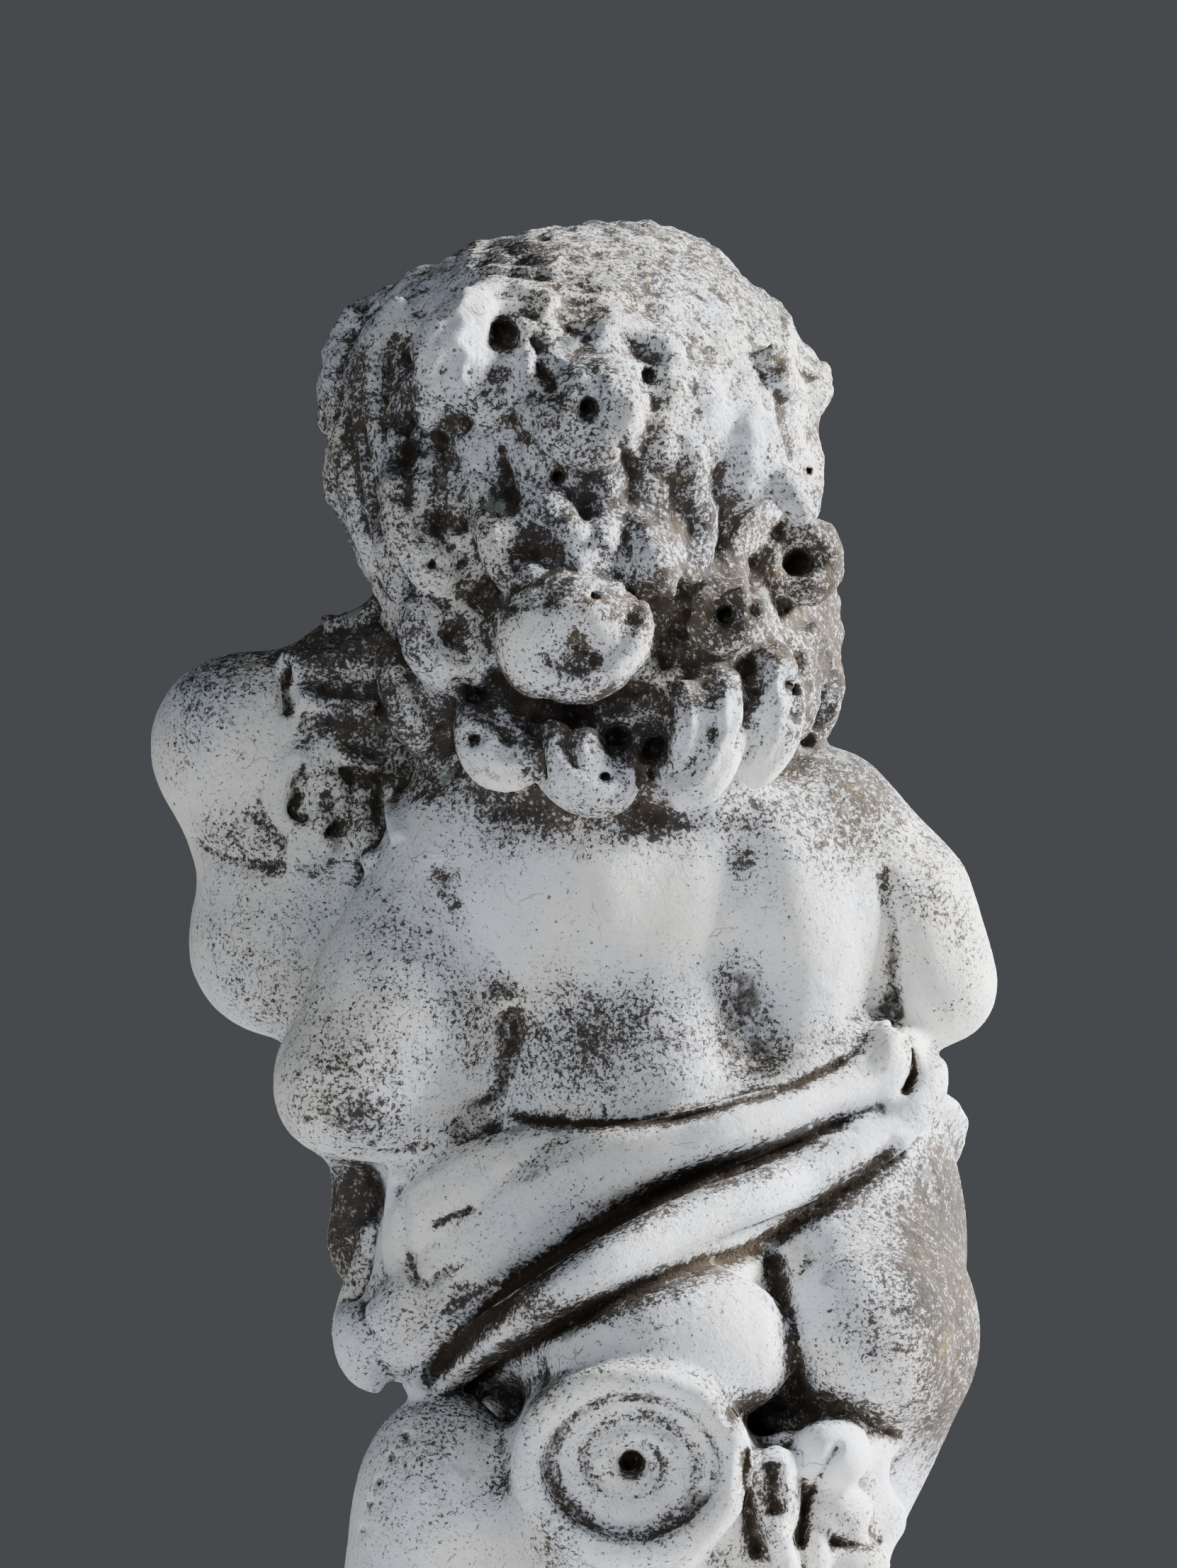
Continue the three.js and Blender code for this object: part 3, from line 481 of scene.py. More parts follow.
# Drilled holes: x, z, radius, depth.
HOLES = [
    (57, 804, 5.6, 12), (21, 773, 3.0, 8), (34, 744, 2.4, 7), (-4, 787, 2.6, 5), (88, 707, 2, 5),
    (19, 693, 1.8, 4), (-68, 708, 4.6, 11), (-37, 686, 3.2, 9), (10, 634, 4.6, 12), (-8, 629, 5.0, 13),
    (-6, 619, 2, 6), (14, 617, 2, 5), (69, 633, 2.6, 7), (-71, 746, 2, 6), (-62, 690, 2.4, 5),
    (4, 695, 2, 5), (52, 688, 1.8, 4), (-64, 655, 3, 8),
]

# Valleys between locks: run of (x, z), width, depth.
VALLEYS = [
    ([(100, 806), (98, 782), (98, 752), (98, 728)], 3.0, 4),
    ([(-60, 818), (-62, 800), (-58, 784)], 2.0, 2),
    ([(118, 800), (119, 772), (115, 744), (109, 716)], 2.6, 5),
    ([(84, 764), (84, 748), (86, 736)], 3.0, 4),
    ([(-60, 782), (-62, 766), (-66, 750)], 2.2, 2.5),
    ([(44, 806), (40, 790), (36, 780)], 2.4, 4),
    ([(64, 664), (54, 653), (40, 646), (24, 644), (8, 648), (-6, 658)], 3.4, 7),
    ([(14, 668), (24, 663), (36, 664), (42, 672)], 3.0, 3),
    ([(78, 658), (70, 650), (60, 648)], 3.0, 4),
    ([(80, 652), (82, 640), (78, 626)], 3.4, 6),
    ([(44, 640), (43, 626), (42, 614)], 3.0, 6),
    ([(0, 640), (-2, 628), (0, 612)], 3.0, 4),
    ([(-46, 652), (-46, 640), (-42, 626)], 2.2, 4),
    ([(-68, 672), (-69, 656), (-66, 640)], 2.4, 5),
    ([(-18, 700), (-20, 686), (-12, 672), (-14, 662)], 3.2, 5),
    ([(-48, 712), (-50, 698), (-50, 684)], 3.0, 5),
    ([(8, 760), (2, 744), (4, 730)], 2.2, 3),
    ([(58, 760), (56, 744), (52, 728)], 2.2, 3),
]


COMMA_REACH = 13
COMMA_RADIUS = 8.5


def comma(surface, look, start, turn, sunk):
    """A curl on the head, met from outside along `look`; it starts at an angle and turns on."""
    middle = at(*HEAD_MIDDLE)
    right = look.cross(Vector((0, 0, 1))).normalized()
    up = right.cross(look)
    route = []
    for i in range(15):
        t = i / 14
        angle = radians(start + turn * t)
        out = COMMA_REACH * mix(1.0, 0.55, t)
        hit = surface.inward(middle + (right * cos(angle) + up * sin(angle) * 1.1) * out * MM, look)
        if hit is None:
            continue
        radius = COMMA_RADIUS * (0.6 + 0.4 * sin(pi * min(1.0, 0.12 + t * 0.85)))
        route.append((hit + look * radius * sunk * MM, radius))
    return route


def side_locks(surface):
    """Comma curls in staggered rows over the sides and round the face."""
    routes = []
    for side in (-1, 1):
        for row in range(5):
            for step in range(4):
                around = side * (1.5 + 0.33 * step + 0.15 * (row % 2))
                rise = -0.5 + 0.3 * row
                past_the_face = abs(around) > 2.42 - 0.06 * abs(row - 2)
                worn_away = side < 0 and rise > 0.0 and (step > 0 or rise > 0.2)
                if past_the_face or worn_away:
                    continue
                look = -Vector((sin(around) * cos(rise), cos(around) * cos(rise), sin(rise)))
                turn = (260 + 25 * ((row * 3 + step) % 3)) * (1 if (row + step) % 2 else -1)
                sunk = mix(0.5, 1.0, min(1.0, max(0.0, (rise + 0.1) * 1.6)) if side < 0 else 0.0)
                route = comma(surface, look, 60 + 55 * row + 70 * step, turn, sunk)
                if len(route) > 6:
                    routes.append(route)
    return routes


# ---------------- drape
# Rolls of the cloth, as runs of (x, z, radius) or (x, z, radius, lift in radii).
FOLDS = [
    # the upper roll, from the peaks at the right to the left hip
    [(-108, 510, 6), (-104, 494, 11, 0), (-82, 481, 12, 0), (-58, 473, 13, 0), (-20, 460, 16, -0.3),
     (16, 447, 20, -0.5), (44, 433, 22, -0.6), (68, 416, 20, -0.55), (88, 399, 17, -0.4),
     (108, 383, 13, -0.2)],
    # the lower roll
    [(-124, 496, 7, 0), (-122, 484, 9, 0), (-110, 470, 10, 0.2), (-99, 462, 10.5, 0.3),
     (-69, 447, 11, 0.35), (-29, 432, 11.5, 0.35), (1, 418, 11.5, 0.35), (31, 401, 11, 0.3),
     (61, 381, 10.5, 0.3), (84, 363, 9.5, 0.2), (96, 354, 8, 0.2)],
    # the flat part above the left hip, and the free edge below the elbow
    [(24, 463, 6, -0.9), (44, 456, 14, -0.75), (66, 444, 20, -0.65), (86, 430, 20, -0.65),
     (91, 412, 15, -0.65)],
    [(100, 452, 6, -0.2), (101, 434, 7, -0.2), (102, 416, 7, -0.2), (96, 404, 7, -0.2)],
    [(113, 428, 5), (116, 410, 6), (120, 394, 8), (120, 380, 10), (115, 368, 10), (106, 362, 8)],
    # the top hem
    [(56, 471, 4), (36, 468, 4.5), (5, 467, 4.5), (-19, 470, 4.5), (-40, 476, 4.5), (-60, 482, 4.5),
     (-80, 491, 4.5), (-98, 501, 4.5), (-107, 513, 4)],
]
# Creases that hold soil and painted shade: run of (x, z), width, depth, soil and painted shade.
CREASES = [
    ([(-106, 480), (-85, 472), (-58, 460), (-24, 448), (-1, 437), (26, 420), (49, 404), (64, 388),
      (84, 368), (92, 358)], 4.6, 13, 1.0),
    ([(-112, 462), (-104, 456), (-74, 434), (-47, 417), (-20, 408), (10, 396), (37, 383), (64, 368),
      (84, 354)], 4.2, 11, 0.9),
    ([(58, 474), (36, 471), (5, 470), (-19, 473), (-39, 478), (-59, 484), (-79, 493), (-97, 503)],
     2.2, 5, 0.9),
    ([(88, 427), (78, 431), (69, 435)], 1.8, 3, 0.6),
    ([(100, 446), (99, 430), (97, 416), (92, 401)], 2.4, 4, 0.3),
    ([(92, 400), (80, 408), (62, 420), (48, 431)], 2.6, 2.5, 0.1),
    ([(-112, 508), (-116, 494), (-112, 482)], 2.4, 5, 0.6),
]

# ---------------- body
# The furrow of the spine, the edges of the arms and the roll of the back: run, width, depth.
BODY_CREASES = [
    ([(-42, 600), (-43, 566), (-44, 540), (-46, 512), (-48, 488)], 15.0, 3.4),
    ([(54, 520), (55, 502), (60, 484), (72, 472)], 5.0, 5),
    ([(88, 584), (78, 560), (66, 538), (56, 520)], 9.0, 3.0),
    ([(-103, 580), (-107, 558), (-108, 538), (-108, 520), (-112, 508)], 4.5, 4),
    ([(136, 470), (124, 460), (106, 458), (88, 462)], 3.0, 2.0),
]
# The parting between the buttocks and the hollows under them: run, width, depth, soil and painted shade.
PARTING = [
    ([(-57, 418), (-58, 408), (-61, 394), (-64, 378), (-67, 364), (-70, 350)], 5.0, 9, 0.75),
    ([(-54, 350), (-68, 350), (-84, 351), (-98, 346), (-112, 336)], 4.6, 7, 0.75),
    ([(-36, 346), (-48, 350), (-62, 352)], 3.6, 5, 0.7),
]
NAVEL = (6, 474)
# Soft hollows: x, z, radius, depth.
DIMPLES = [
    # under the shoulder blade, at the elbows
    (60, 548, 40, 8), (131, 481, 8, 3), (120, 474, 6, 2.5), (-140, 512, 7, 2),
    # in the curls
    (26, 672, 8, 6), (83, 726, 8, 6), (47, 716, 8, 5), (76, 680, 7, 4), (-33, 636, 5, 3),
    (57, 803, 9, 4), (21, 774, 6, 3),
]


# ---------------- scroll support
VOLUTE_X, VOLUTE_Z = 3, 332
VOLUTE_BACK = 128  # the y of the volute's flat face, turned to the onlooker
VOLUTE_TURN = 560
VOLUTE_EYE = 4.4  # the radius of the hole drilled in its middle
# The two edges that meet below it, as runs of (x, z, radius).
VOLUTE_EDGES = (
    ((-20, 300, 4), (0, 286, 4.5), (8, 282, 4.5)),
    ((34, 300, 4), (18, 286, 4.5), (8, 282, 4.5)),
)


def scroll():
    """The volute's rim and spiral, and the two edges that meet below it."""
    rim = []
    for i in range(41):
        angle = radians(360 * i / 40)
        rim.append((at(VOLUTE_X + 43.5 * cos(angle), VOLUTE_BACK - 3, VOLUTE_Z + 36.5 * sin(angle)), 7.2))
    spiral = []
    for i in range(46):
        t = i / 45
        angle = radians(200 - VOLUTE_TURN * t)
        x = VOLUTE_X + 34 * (1 - 0.66 * t) * cos(angle)
        z = VOLUTE_Z + 29 * (1 - 0.66 * t) * sin(angle)
        spiral.append((at(x, VOLUTE_BACK - 8, z), 4.6 - t))
    edges = [[(at(x, VOLUTE_BACK - 9, z), radius) for x, z, radius in run] for run in VOLUTE_EDGES]
    return [rim, spiral, *edges]


# Stems as runs of (x, z, radius), and what parts the leaves: run of (x, z), width, depth, soil and painted
# shade.
LEAVES = [
    [(-58, 300, 5), (-62, 286, 6), (-66, 270, 6)],
    [(-74, 300, 5), (-76, 286, 6), (-74, 270, 6)],
]
LEAF_CREASES = [
    ([(-57, 328), (-57, 318), (-58, 304)], 3.6, 7, 0.7),
    ([(-86, 336), (-76, 320), (-69, 304)], 1.8, 4, 0.5),
    ([(-69, 322), (-70, 308), (-69, 290)], 2.4, 6, 0.6),
    ([(-46, 336), (-45, 318), (-48, 300), (-50, 286)], 3.0, 7, 0.7),
    ([(-80, 294), (-92, 292), (-104, 294)], 2.0, 3, 0.4),
]
# Drilled slots down the scroll's left side: x, z, radius, depth.
SIDE_SLOTS = [
    (98, 338, 1.5, 3), (104, 329, 1.6, 3), (109, 319, 1.6, 3), (113, 309, 1.6, 3), (116, 298, 1.5, 3),
]

# ---------------- shield
# The scroll, leaf and buds carved on it, as runs of (x, z, radius), and its grooves.
SHIELD = [
    [(141, 628, 4), (150, 619, 5), (152, 606, 5.5), (146, 596, 5), (136, 594, 5), (132, 602, 4)],
    [(148, 588, 4), (138, 585, 5), (128, 590, 5)],
    [(122, 628, 6), (122, 622, 6)],
    [(111, 624, 5.5), (111, 619, 5.5)],
    [(118, 612, 4), (117, 600, 5), (114, 588, 6), (112, 580, 5)],
    [(104, 612, 4), (103, 600, 4.5), (101, 590, 4)],
    [(132, 618, 4), (126, 610, 4), (127, 600, 4)],
    [(144, 668, 6), (128, 664, 6), (112, 662, 6), (98, 660, 6)],
    [(144, 650, 5), (128, 647, 5), (110, 645, 5)],
]
SHIELD_CREASES = [
    ([(150, 668), (149, 654), (148, 642)], 2.6, 5),
    ([(142, 612), (146, 603), (140, 599)], 2.2, 4),
    ([(192, 592), (180, 584), (164, 580), (148, 578)], 4.0, 3),
    ([(134, 592), (126, 596)], 2.0, 3),
]


# ---------------- face, hands and feet
HEAD_CENTRE = (20, -14, 738)
HEAD_TURN = Euler((0.3, 0.06, -0.16), "XYZ").to_matrix().to_4x4()
HEAD_FRAME = Matrix.Translation(at(*HEAD_CENTRE)) @ HEAD_TURN
FACE_FRONT, FACE_HALF, HAIRLINE = -50, 62, 22  # the bare face, in the head's own frame
EYE_APART = 34  # from the middle of the face to an eye
EYE_LEVEL = -18
SOCKET_RADIUS, SOCKET_DEPTH = 13, 5


def on_head(x, y, z):
    """A point in the head's own frame: -y out of the face, z up."""
    return HEAD_FRAME @ Vector((x * MM, y * MM, z * MM))


def on_face(surface, x, z, lift=0.0):
    """The place on the face's skin at x, z of the head's own frame, `lift` mm out of it."""
    start = on_head(x, -240, z)
    look = (on_head(x, 0, z) - start).normalized()
    return surface.tree.ray_cast(start, look)[0] - look * lift * MM


def lid(surface, side, above, radius, lift, wide=15.0, high=7.5):
    """An arc over (above=1) or under (above=-1) one eye."""
    route = []
    for angle in (0.0, 0.4, 0.8, 1.2, 1.57, 1.94, 2.34, 2.74, 3.14):
        x = side * (EYE_APART + wide * cos(angle))
        route.append((on_face(surface, x, EYE_LEVEL + above * high * sin(angle), lift), radius))
    return route


def face(surface):
    """Eyes, brows, nose and lips of a calm child's face, as tubes and eggs."""
    def run(points):
        return [(on_face(surface, x, z, lift), radius) for x, z, lift, radius in points]

    nose = ((0, -88, 2, 6), (0, -95, -14, 6.5), (0, -102, -30, 7.5), (0, -104, -38, 8))
    routes = [
        [(on_head(x, y, z), radius) for x, y, z, radius in nose],
        run([(-17, -66, 0, 3), (-9, -63, 1, 4), (-3, -61.5, 1.4, 4.2), (3, -61.5, 1.4, 4.2), (9, -63, 1, 4),
             (17, -66, 0, 3)]),
        run([(-13, -71, 0, 3), (-6, -74, 1.4, 5), (6, -74, 1.4, 5), (13, -71, 0, 3)]),
        run([(-12, -90, 0, 7), (0, -92, 1, 9), (12, -90, 0, 7)]),
    ]
    pieces = []
    for side in (-1, 1):
        routes.append([(on_head(side * 7, -97, -41), 5), (on_head(side * 10.5, -93, -42), 4.5)])
        routes.append(lid(surface, side, 1, 3.4, 0.6))
        routes.append(lid(surface, side, -1, 2.8, 0.2))
        routes.append(run([(side * 12, 6, 0, 4), (side * 28, 12, 0.6, 4.6), (side * 44, 11, 0.2, 4.4),
                           (side * 56, 4, -1, 3.6)]))
        eye = HEAD_FRAME.to_3x3().to_4x4()
        eye.translation = on_face(surface, side * EYE_APART, EYE_LEVEL, -6.5)
        pieces.append(egg("eye", eye, (12.5, 9, 8.5)))
    return routes, pieces


def face_creases(surface):
    """Lines that part the lids, the lips and the wings of the nose: route, width, depth."""
    def run(points):
        return [(on_face(surface, x, z), 1.0) for x, z in points]

    lines = [(run([(-17, -67), (-9, -67), (-3, -66), (3, -66), (9, -67), (17, -67)]), 1.7, 3.6),
             (run([(-11, -81), (0, -82), (11, -81)]), 3.4, 2.0),
             (run([(0, -50), (0, -58)]), 2.4, 1.6)]
    for side in (-1, 1):
        lines.append((lid(surface, side, 1, 1.0, 0, 12.5, 5.2), 1.5, 2.6))
        lines.append((lid(surface, side, -1, 1.0, 0, 12.5, 5.0), 1.5, 2.2))
        lines.append((lid(surface, side, 1, 1.0, 0, 18, 12.5), 2.0, 1.6))
        lines.append((run([(side * 5, -46), (side * 8, -46)]), 2.2, 3.4))
        lines.append((run([(side * 14, -38), (side * 15, -46), (side * 20, -56)]), 2.6, 1.4))
    return lines


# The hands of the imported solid: palm, way to the finger tips, way from finger to finger, and curl.
HANDS = {
    "left": ((128, -92, 508), (4, -18, 30), (14, 2, 1), (2, 12, 8)),
    "right": ((-12, -90, 560), (38, -3, 13), (-3, -2, 14), (8, 6, 0)),
}


def finger(hand, place):
    """The middle joint and the tip of a finger, or of the gap beside it."""
    palm, tips, spread, curl = (Vector(part) for part in HANDS[hand])
    root = palm + spread * place * 0.75
    knuckle = root + tips * 0.55 + spread * place * 0.2
    return knuckle, knuckle + tips * 0.5 + curl


def fingers(hand):
    """Rounded finger ends of unlike lengths, and a thumb for the open hand."""
    routes = []
    for place, longer in ((-1.5, -0.02), (-0.5, 0.12), (0.5, 0.16), (1.5, 0.06)):
        knuckle, tip = finger(hand, place)
        tips = Vector(HANDS[hand][1])
        routes.append([(at(*knuckle), 8.6), (at(*mix(knuckle, tip, 0.6)), 7.8),
                       (at(*(tip + tips * longer)), 7.4)])
    if hand == "right":
        palm = Vector(HANDS[hand][0])
        thumb = ((-10, -8, 8, 9), (2, -11, 25, 8), (12, -11, 36, 7))
        routes.append(smooth_route([(at(*(palm + Vector(bead[:3]))), bead[3]) for bead in thumb], 4))
    return routes


def finger_gaps(surface, hand):
    """Lines between the fingers, on the side turned to the front."""
    lines = []
    for place in (-1.0, 0.0, 1.0):
        knuckle, tip = finger(hand, place)
        line = []
        for t in (-0.35, 0.0, 0.35, 0.7, 1.0, 1.15):
            spot = mix(knuckle, tip, t)
            hit = surface.from_front(spot.x, spot.z)
            if hit is not None and hit.y < at(0, spot.y + 8, 0).y:
                line.append((hit, 1.0))
        if len(line) > 2:
            lines.append(line)
    return lines


FEET = {1: (-56, -48, -8), -1: (60, -82, 10)}  # side of the big toe: x, y of the ball, splay
# across the foot, reach, radius
TOES = ((15, 21, 8.6), (4, 23, 6.4), (-4.5, 21, 6.0), (-12, 17, 5.6), (-18.5, 12, 5.2))


def toes():
    """Five rounded toes on each foot, resting on the plinth."""
    routes = []
    for inner, (x, y, splay) in FEET.items():
        ahead = Vector((splay, -60, 0)).normalized()
        for across, reach, radius in TOES:
            start = Vector((x + inner * across * 0.9, y, PLINTH_TOP - 2 + radius))
            end = Vector((x + inner * across, y, PLINTH_TOP - 4 + radius)) + ahead * reach
            routes.append([(at(*start), radius), (at(*mix(start, end, 0.75)), radius * 1.05),
                           (at(*end), radius * 0.7)])
    return routes


def lumps_on(surface):
    """The LUMPS as eggs, each sunk into the skin by what doesn't stand proud."""
    pieces = []
    for x, z, wide, high, thick, proud in LUMPS:
        place = surface.seen(x, z)
        look = (place - ONLOOKER).normalized()
        middle = Matrix.Translation(place + look * thick * (1 - 2 * proud) * MM)
        pieces.append(egg("lump", middle, (wide, thick, high)))
    return pieces


# ---------------- laying on and carving
# Lumps, the eye sockets, then everything that is laid on as tubes.
statue = roughed_out()
statue = fuse([statue, *lumps_on(Surface(statue))], LUMP_VOXEL)
clay = Clay(statue)
clay.soften(3, 0.5)
skin = Surface(statue)
into_face = (on_head(0, 1, 0) - on_head(0, 0, 0)).normalized()
for side in (-1, 1):
    clay.dent(on_face(skin, side * 33, EYE_LEVEL), into_face, SOCKET_RADIUS, SOCKET_DEPTH)
clay.write()
skin = Surface(statue)
head_skin = Surface(statue, at(*HEAD_MIDDLE), HEAD_REACH)
routes = [laid(head_skin, [settled(*bead) for bead in run]) for run in LOCKS]
routes += side_locks(head_skin)
routes += [laid(skin, points, 0.05, 6, 30) for points in FOLDS]
routes += [laid(skin, points, 0.3) for points in LEAVES]
routes += [laid(skin, points, 0.2) for points in SHIELD]
routes += scroll()
face_routes, lumps = face(skin)
routes += face_routes + fingers("left") + fingers("right") + toes()
statue = one_shell(fuse([statue, tubes("laid on", routes), *lumps], FINE_VOXEL))


def hair_share(clay):
    """1 in the hair, 0 on the face and the body."""
    place = clay.in_mm()
    inside = np.linalg.norm((place - HEAD_MIDDLE) / (1.0, 1.0, 1.12), axis=1) < HAIR_REACH
    local = (place - HEAD_CENTRE) @ np.array(HEAD_TURN.to_3x3())
    bare = (local[:, 1] < FACE_FRONT) & (abs(local[:, 0]) < FACE_HALF) & (local[:, 2] < HAIRLINE)
    share = np.clip((place[:, 2] - NECK_HEIGHT) / 10, 0, 1) * (inside & ~bare)
    for _ in range(4):
        share = clay.spread(share)
    return share


def mound(x, z, middle_x, middle_z, wide, high):
    """A soft oval patch: 1 at its middle, falling away over its width and height."""
    return np.exp(-(((x - middle_x) / wide) ** 2) - ((z - middle_z) / high) ** 2)


# The seams are evened out, most of all in the upper hair and at the worn temple.
clay = Clay(statue)
clay.soften(3, 0.5)
place = clay.in_mm()
clay.soften(5, 0.5, hair_share(clay) * np.clip((place[:, 2] - EVEN_HEIGHT) / CROWN_RISE, 0.1, 1))
place = clay.in_mm()
clay.soften(90, 0.7, mound(place[:, 0], place[:, 2], *WORN_TEMPLE, 14, 16))
clay.write()
skin = Surface(statue)


def seen_route(points):
    """A route on the skin below the (x, z) points that the onlooker sees."""
    return laid(skin, [(x, z, 1.0) for x, z in points], 0.0, 6, 40)


def chisel_lines(run):
    """Two lines of (x, z) along a lock, one on each side of its middle."""
    lines = []
    for offset in (-0.42, 0.42):
        line = []
        for i, (x, z, radius) in enumerate(run):
            ahead = run[min(i + 1, len(run) - 1)]
            behind = run[max(i - 1, 0)]
            step = Vector((ahead[0] - behind[0], ahead[1] - behind[1])).normalized()
            line.append((x - step.y * radius * offset, z + step.x * radius * offset))
        lines.append(line)
    return lines


# Valleys, creases, chisel lines, hollows and holes.
for points, width, depth in VALLEYS:
    clay.groove(seen_route(points), width * 1.3, depth * 0.9)
for points, width, depth in BODY_CREASES + SHIELD_CREASES:
    clay.groove(seen_route(points), width, depth)
for points, width, depth, _ in CREASES + PARTING + LEAF_CREASES:
    clay.press(points, width, depth)
for run in LOCKS:
    if max(radius for _, _, radius in run) > BROAD_LOCK:
        for line in chisel_lines(run):
            clay.groove(seen_route(line), 2.0, 1.3, 0.25)
for tool, marks in ((clay.dent, DIMPLES), (clay.drill, HOLES + SIDE_SLOTS)):
    for x, z, radius, depth in marks:
        place = skin.seen(x, z)
        tool(place, (place - ONLOOKER).normalized(), radius, depth)
clay.drill(at(VOLUTE_X, VOLUTE_BACK - 8, VOLUTE_Z), -TOWARDS_BACK, VOLUTE_EYE, 13)
clay.write()
skin = Surface(statue)
for route, width, depth in face_creases(skin):
    clay.groove(route, width, depth, 0.2)
for hand in HANDS:
    for route in finger_gaps(skin, hand):
        clay.groove(route, 2.2, 5.0, 0.1)
clay.dent(skin.from_front(*NAVEL), TOWARDS_BACK, 4.5, 5)
clay.write()

# Weather has eaten the hair and the tops more than the flesh.
place = clay.in_mm()
in_hair = hair_share(clay)
eaten = np.clip(0.12 + in_hair * (0.6 + 0.5 * np.clip(clay.normals[:, 2], 0, 1)), 0, 1)
worn = ripple(place, 26, 3) + ripple(place, 8, 5) * 0.45
clay.points += clay.normals * (worn * eaten * MM)[:, None]
clay.soften(1, 0.4)
clay.write()
modify(statue, "DECIMATE", ratio=min(1.0, MOST_TRIANGLES / (2 * len(statue.data.polygons))))
pick(statue)
bpy.ops.object.shade_smooth()


# ---------------- what the stone's face remembers, and the painted shade of its hollows
GOLDEN_TURN = 2.39996  # radians from one ray of an even spread to the next


def openness(piece, rays=20, reach=120):
    """How open each point is to the air around it, from 0 (deep) to 1."""
    mesh = piece.data
    tree = Surface(piece).tree
    spread = []
    for i in range(rays):
        rise = 1 - (i + 0.5) / rays
        around = i * GOLDEN_TURN
        flat = (1 - rise * rise) ** 0.5
        spread.append(Vector((flat * cos(around), flat * sin(around), rise)))
    open_share = np.empty(len(mesh.vertices))
    for i, vertex in enumerate(mesh.vertices):
        normal = vertex.normal
        turn = normal.to_track_quat("Z", "Y").to_matrix()
        start = vertex.co + normal * 0.7 * MM
        free = 0.0
        for ray in spread:
            _, _, _, gap = tree.ray_cast(start, turn @ ray, reach * MM)
            free += 1.0 if gap is None else (gap / (reach * MM)) ** 0.5 * 0.8
        open_share[i] = free / rays
    return open_share


def keep(piece, name, values):
    """Stores a value for each point, for the material to read."""
    layer = piece.data.attributes.new(name, "FLOAT", "POINT")
    layer.data.foreach_set("value", values.astype(np.float32))


# Places where dirt and lichen gather, with bands of painted shade in the recess by the right arm, under the
# drape's rolls and under the buttocks, as the onlooker sees them: x, z, width, height, strength.
STAINS_AND_SHADOWS = [
    # hair
    (60, 800, 80, 40, 0.1), (-40, 820, 60, 40, 0.12), (124, 770, 16, 60, 0.12), (-84, 690, 16, 50, 0.6),
    (-20, 690, 36, 22, 0.6), (-60, 700, 30, 30, 0.4), (44, 730, 30, 16, 0.3), (83, 726, 9, 9, 0.5),
    (47, 716, 9, 9, 0.45), (76, 680, 8, 7, 0.4), (26, 672, 10, 8, 0.75), (29, 676, 40, 34, 0.3),
    (6, 652, 60, 7, 0.5), (14, 738, 30, 24, 0.22), (-30, 730, 26, 22, 0.45), (24, 622, 60, 24, 0.42),
    (20, 596, 60, 12, 0.85), (-50, 600, 30, 12, 0.75), (-8, 628, 9, 16, 0.7), (-70, 630, 14, 26, 0.6),
    # shoulders, arms and back; the narrow band by the right arm's inner edge is painted shade with dirt
    (-92, 606, 26, 36, 0.95), (-120, 575, 18, 26, 0.6), (-140, 545, 16, 34, 0.5), (-110, 530, 6, 24, 0.35),
    (80, 600, 26, 22, 0.4), (72, 520, 30, 34, 0.55), (100, 530, 40, 44, 0.48), (116, 500, 36, 26, 0.56),
    (118, 474, 34, 14, 0.8), (8, 506, 84, 28, 0.7), (40, 500, 30, 16, 0.45), (20, 560, 90, 60, 0.1),
    (-46, 585, 12, 40, 0.2), (4, 476, 70, 8, 0.4),
    # drape; the bands along its creases and under the end of the lower roll are dirt and painted shade
    (124, 432, 12, 30, 1.2), (98, 388, 20, 16, 0.75), (74, 392, 20, 16, 0.6), (40, 452, 14, 8, 0.3),
    (0, 432, 50, 8, 0.4), (104, 362, 16, 10, 0.5), (-50, 446, 40, 6, 0.35),
    # hips and buttocks; the band under the lower roll and the one under the buttocks are dirt and painted
    # shade
    (-131, 415, 23, 60, 1.25), (-136, 350, 24, 60, 1.15), (-104, 390, 26, 50, 0.5), (-60, 352, 44, 12, 0.7),
    (20, 392, 60, 10, 0.6), (-20, 390, 60, 30, 0.16), (-92, 440, 14, 16, 0.35),
    # scroll support
    (3, 332, 46, 40, 0.34), (90, 316, 44, 50, 0.48), (112, 330, 14, 60, 0.5), (-20, 300, 30, 22, 0.35),
    (38, 300, 20, 40, 0.5), (-84, 300, 40, 34, 0.36), (-50, 300, 10, 34, 0.6), (44, 356, 12, 14, 0.7),
    # shield
    (160, 560, 60, 60, 0.3), (186, 640, 50, 40, 0.3), (80, 580, 30, 30, 0.3), (180, 590, 34, 14, 0.75),
    (196, 655, 26, 24, 0.6), (150, 672, 60, 12, 0.6), (125, 600, 30, 30, 0.55), (172, 520, 26, 18, 0.6),
    (112, 640, 30, 20, 0.4),
]

STAINED_HALF = -50  # the y behind which the stains count
# Places the rain keeps clean, in the same terms.
CLEAN = [
    (84, 822, 44, 22, 0.26), (-44, 757, 20, 24, 0.25), (84, 596, 18, 18, 0.3), (-30, 812, 60, 24, 0.12),
    (-46, 510, 14, 30, 0.3), (64, 542, 14, 20, 0.3), (10, 706, 24, 16, 0.1), (-44, 474, 60, 8, 0.4),
    (-95, 466, 30, 7, 0.3), (90, 320, 40, 40, 0.16), (-84, 330, 16, 16, 0.45), (74, 800, 24, 22, 0.2),
]

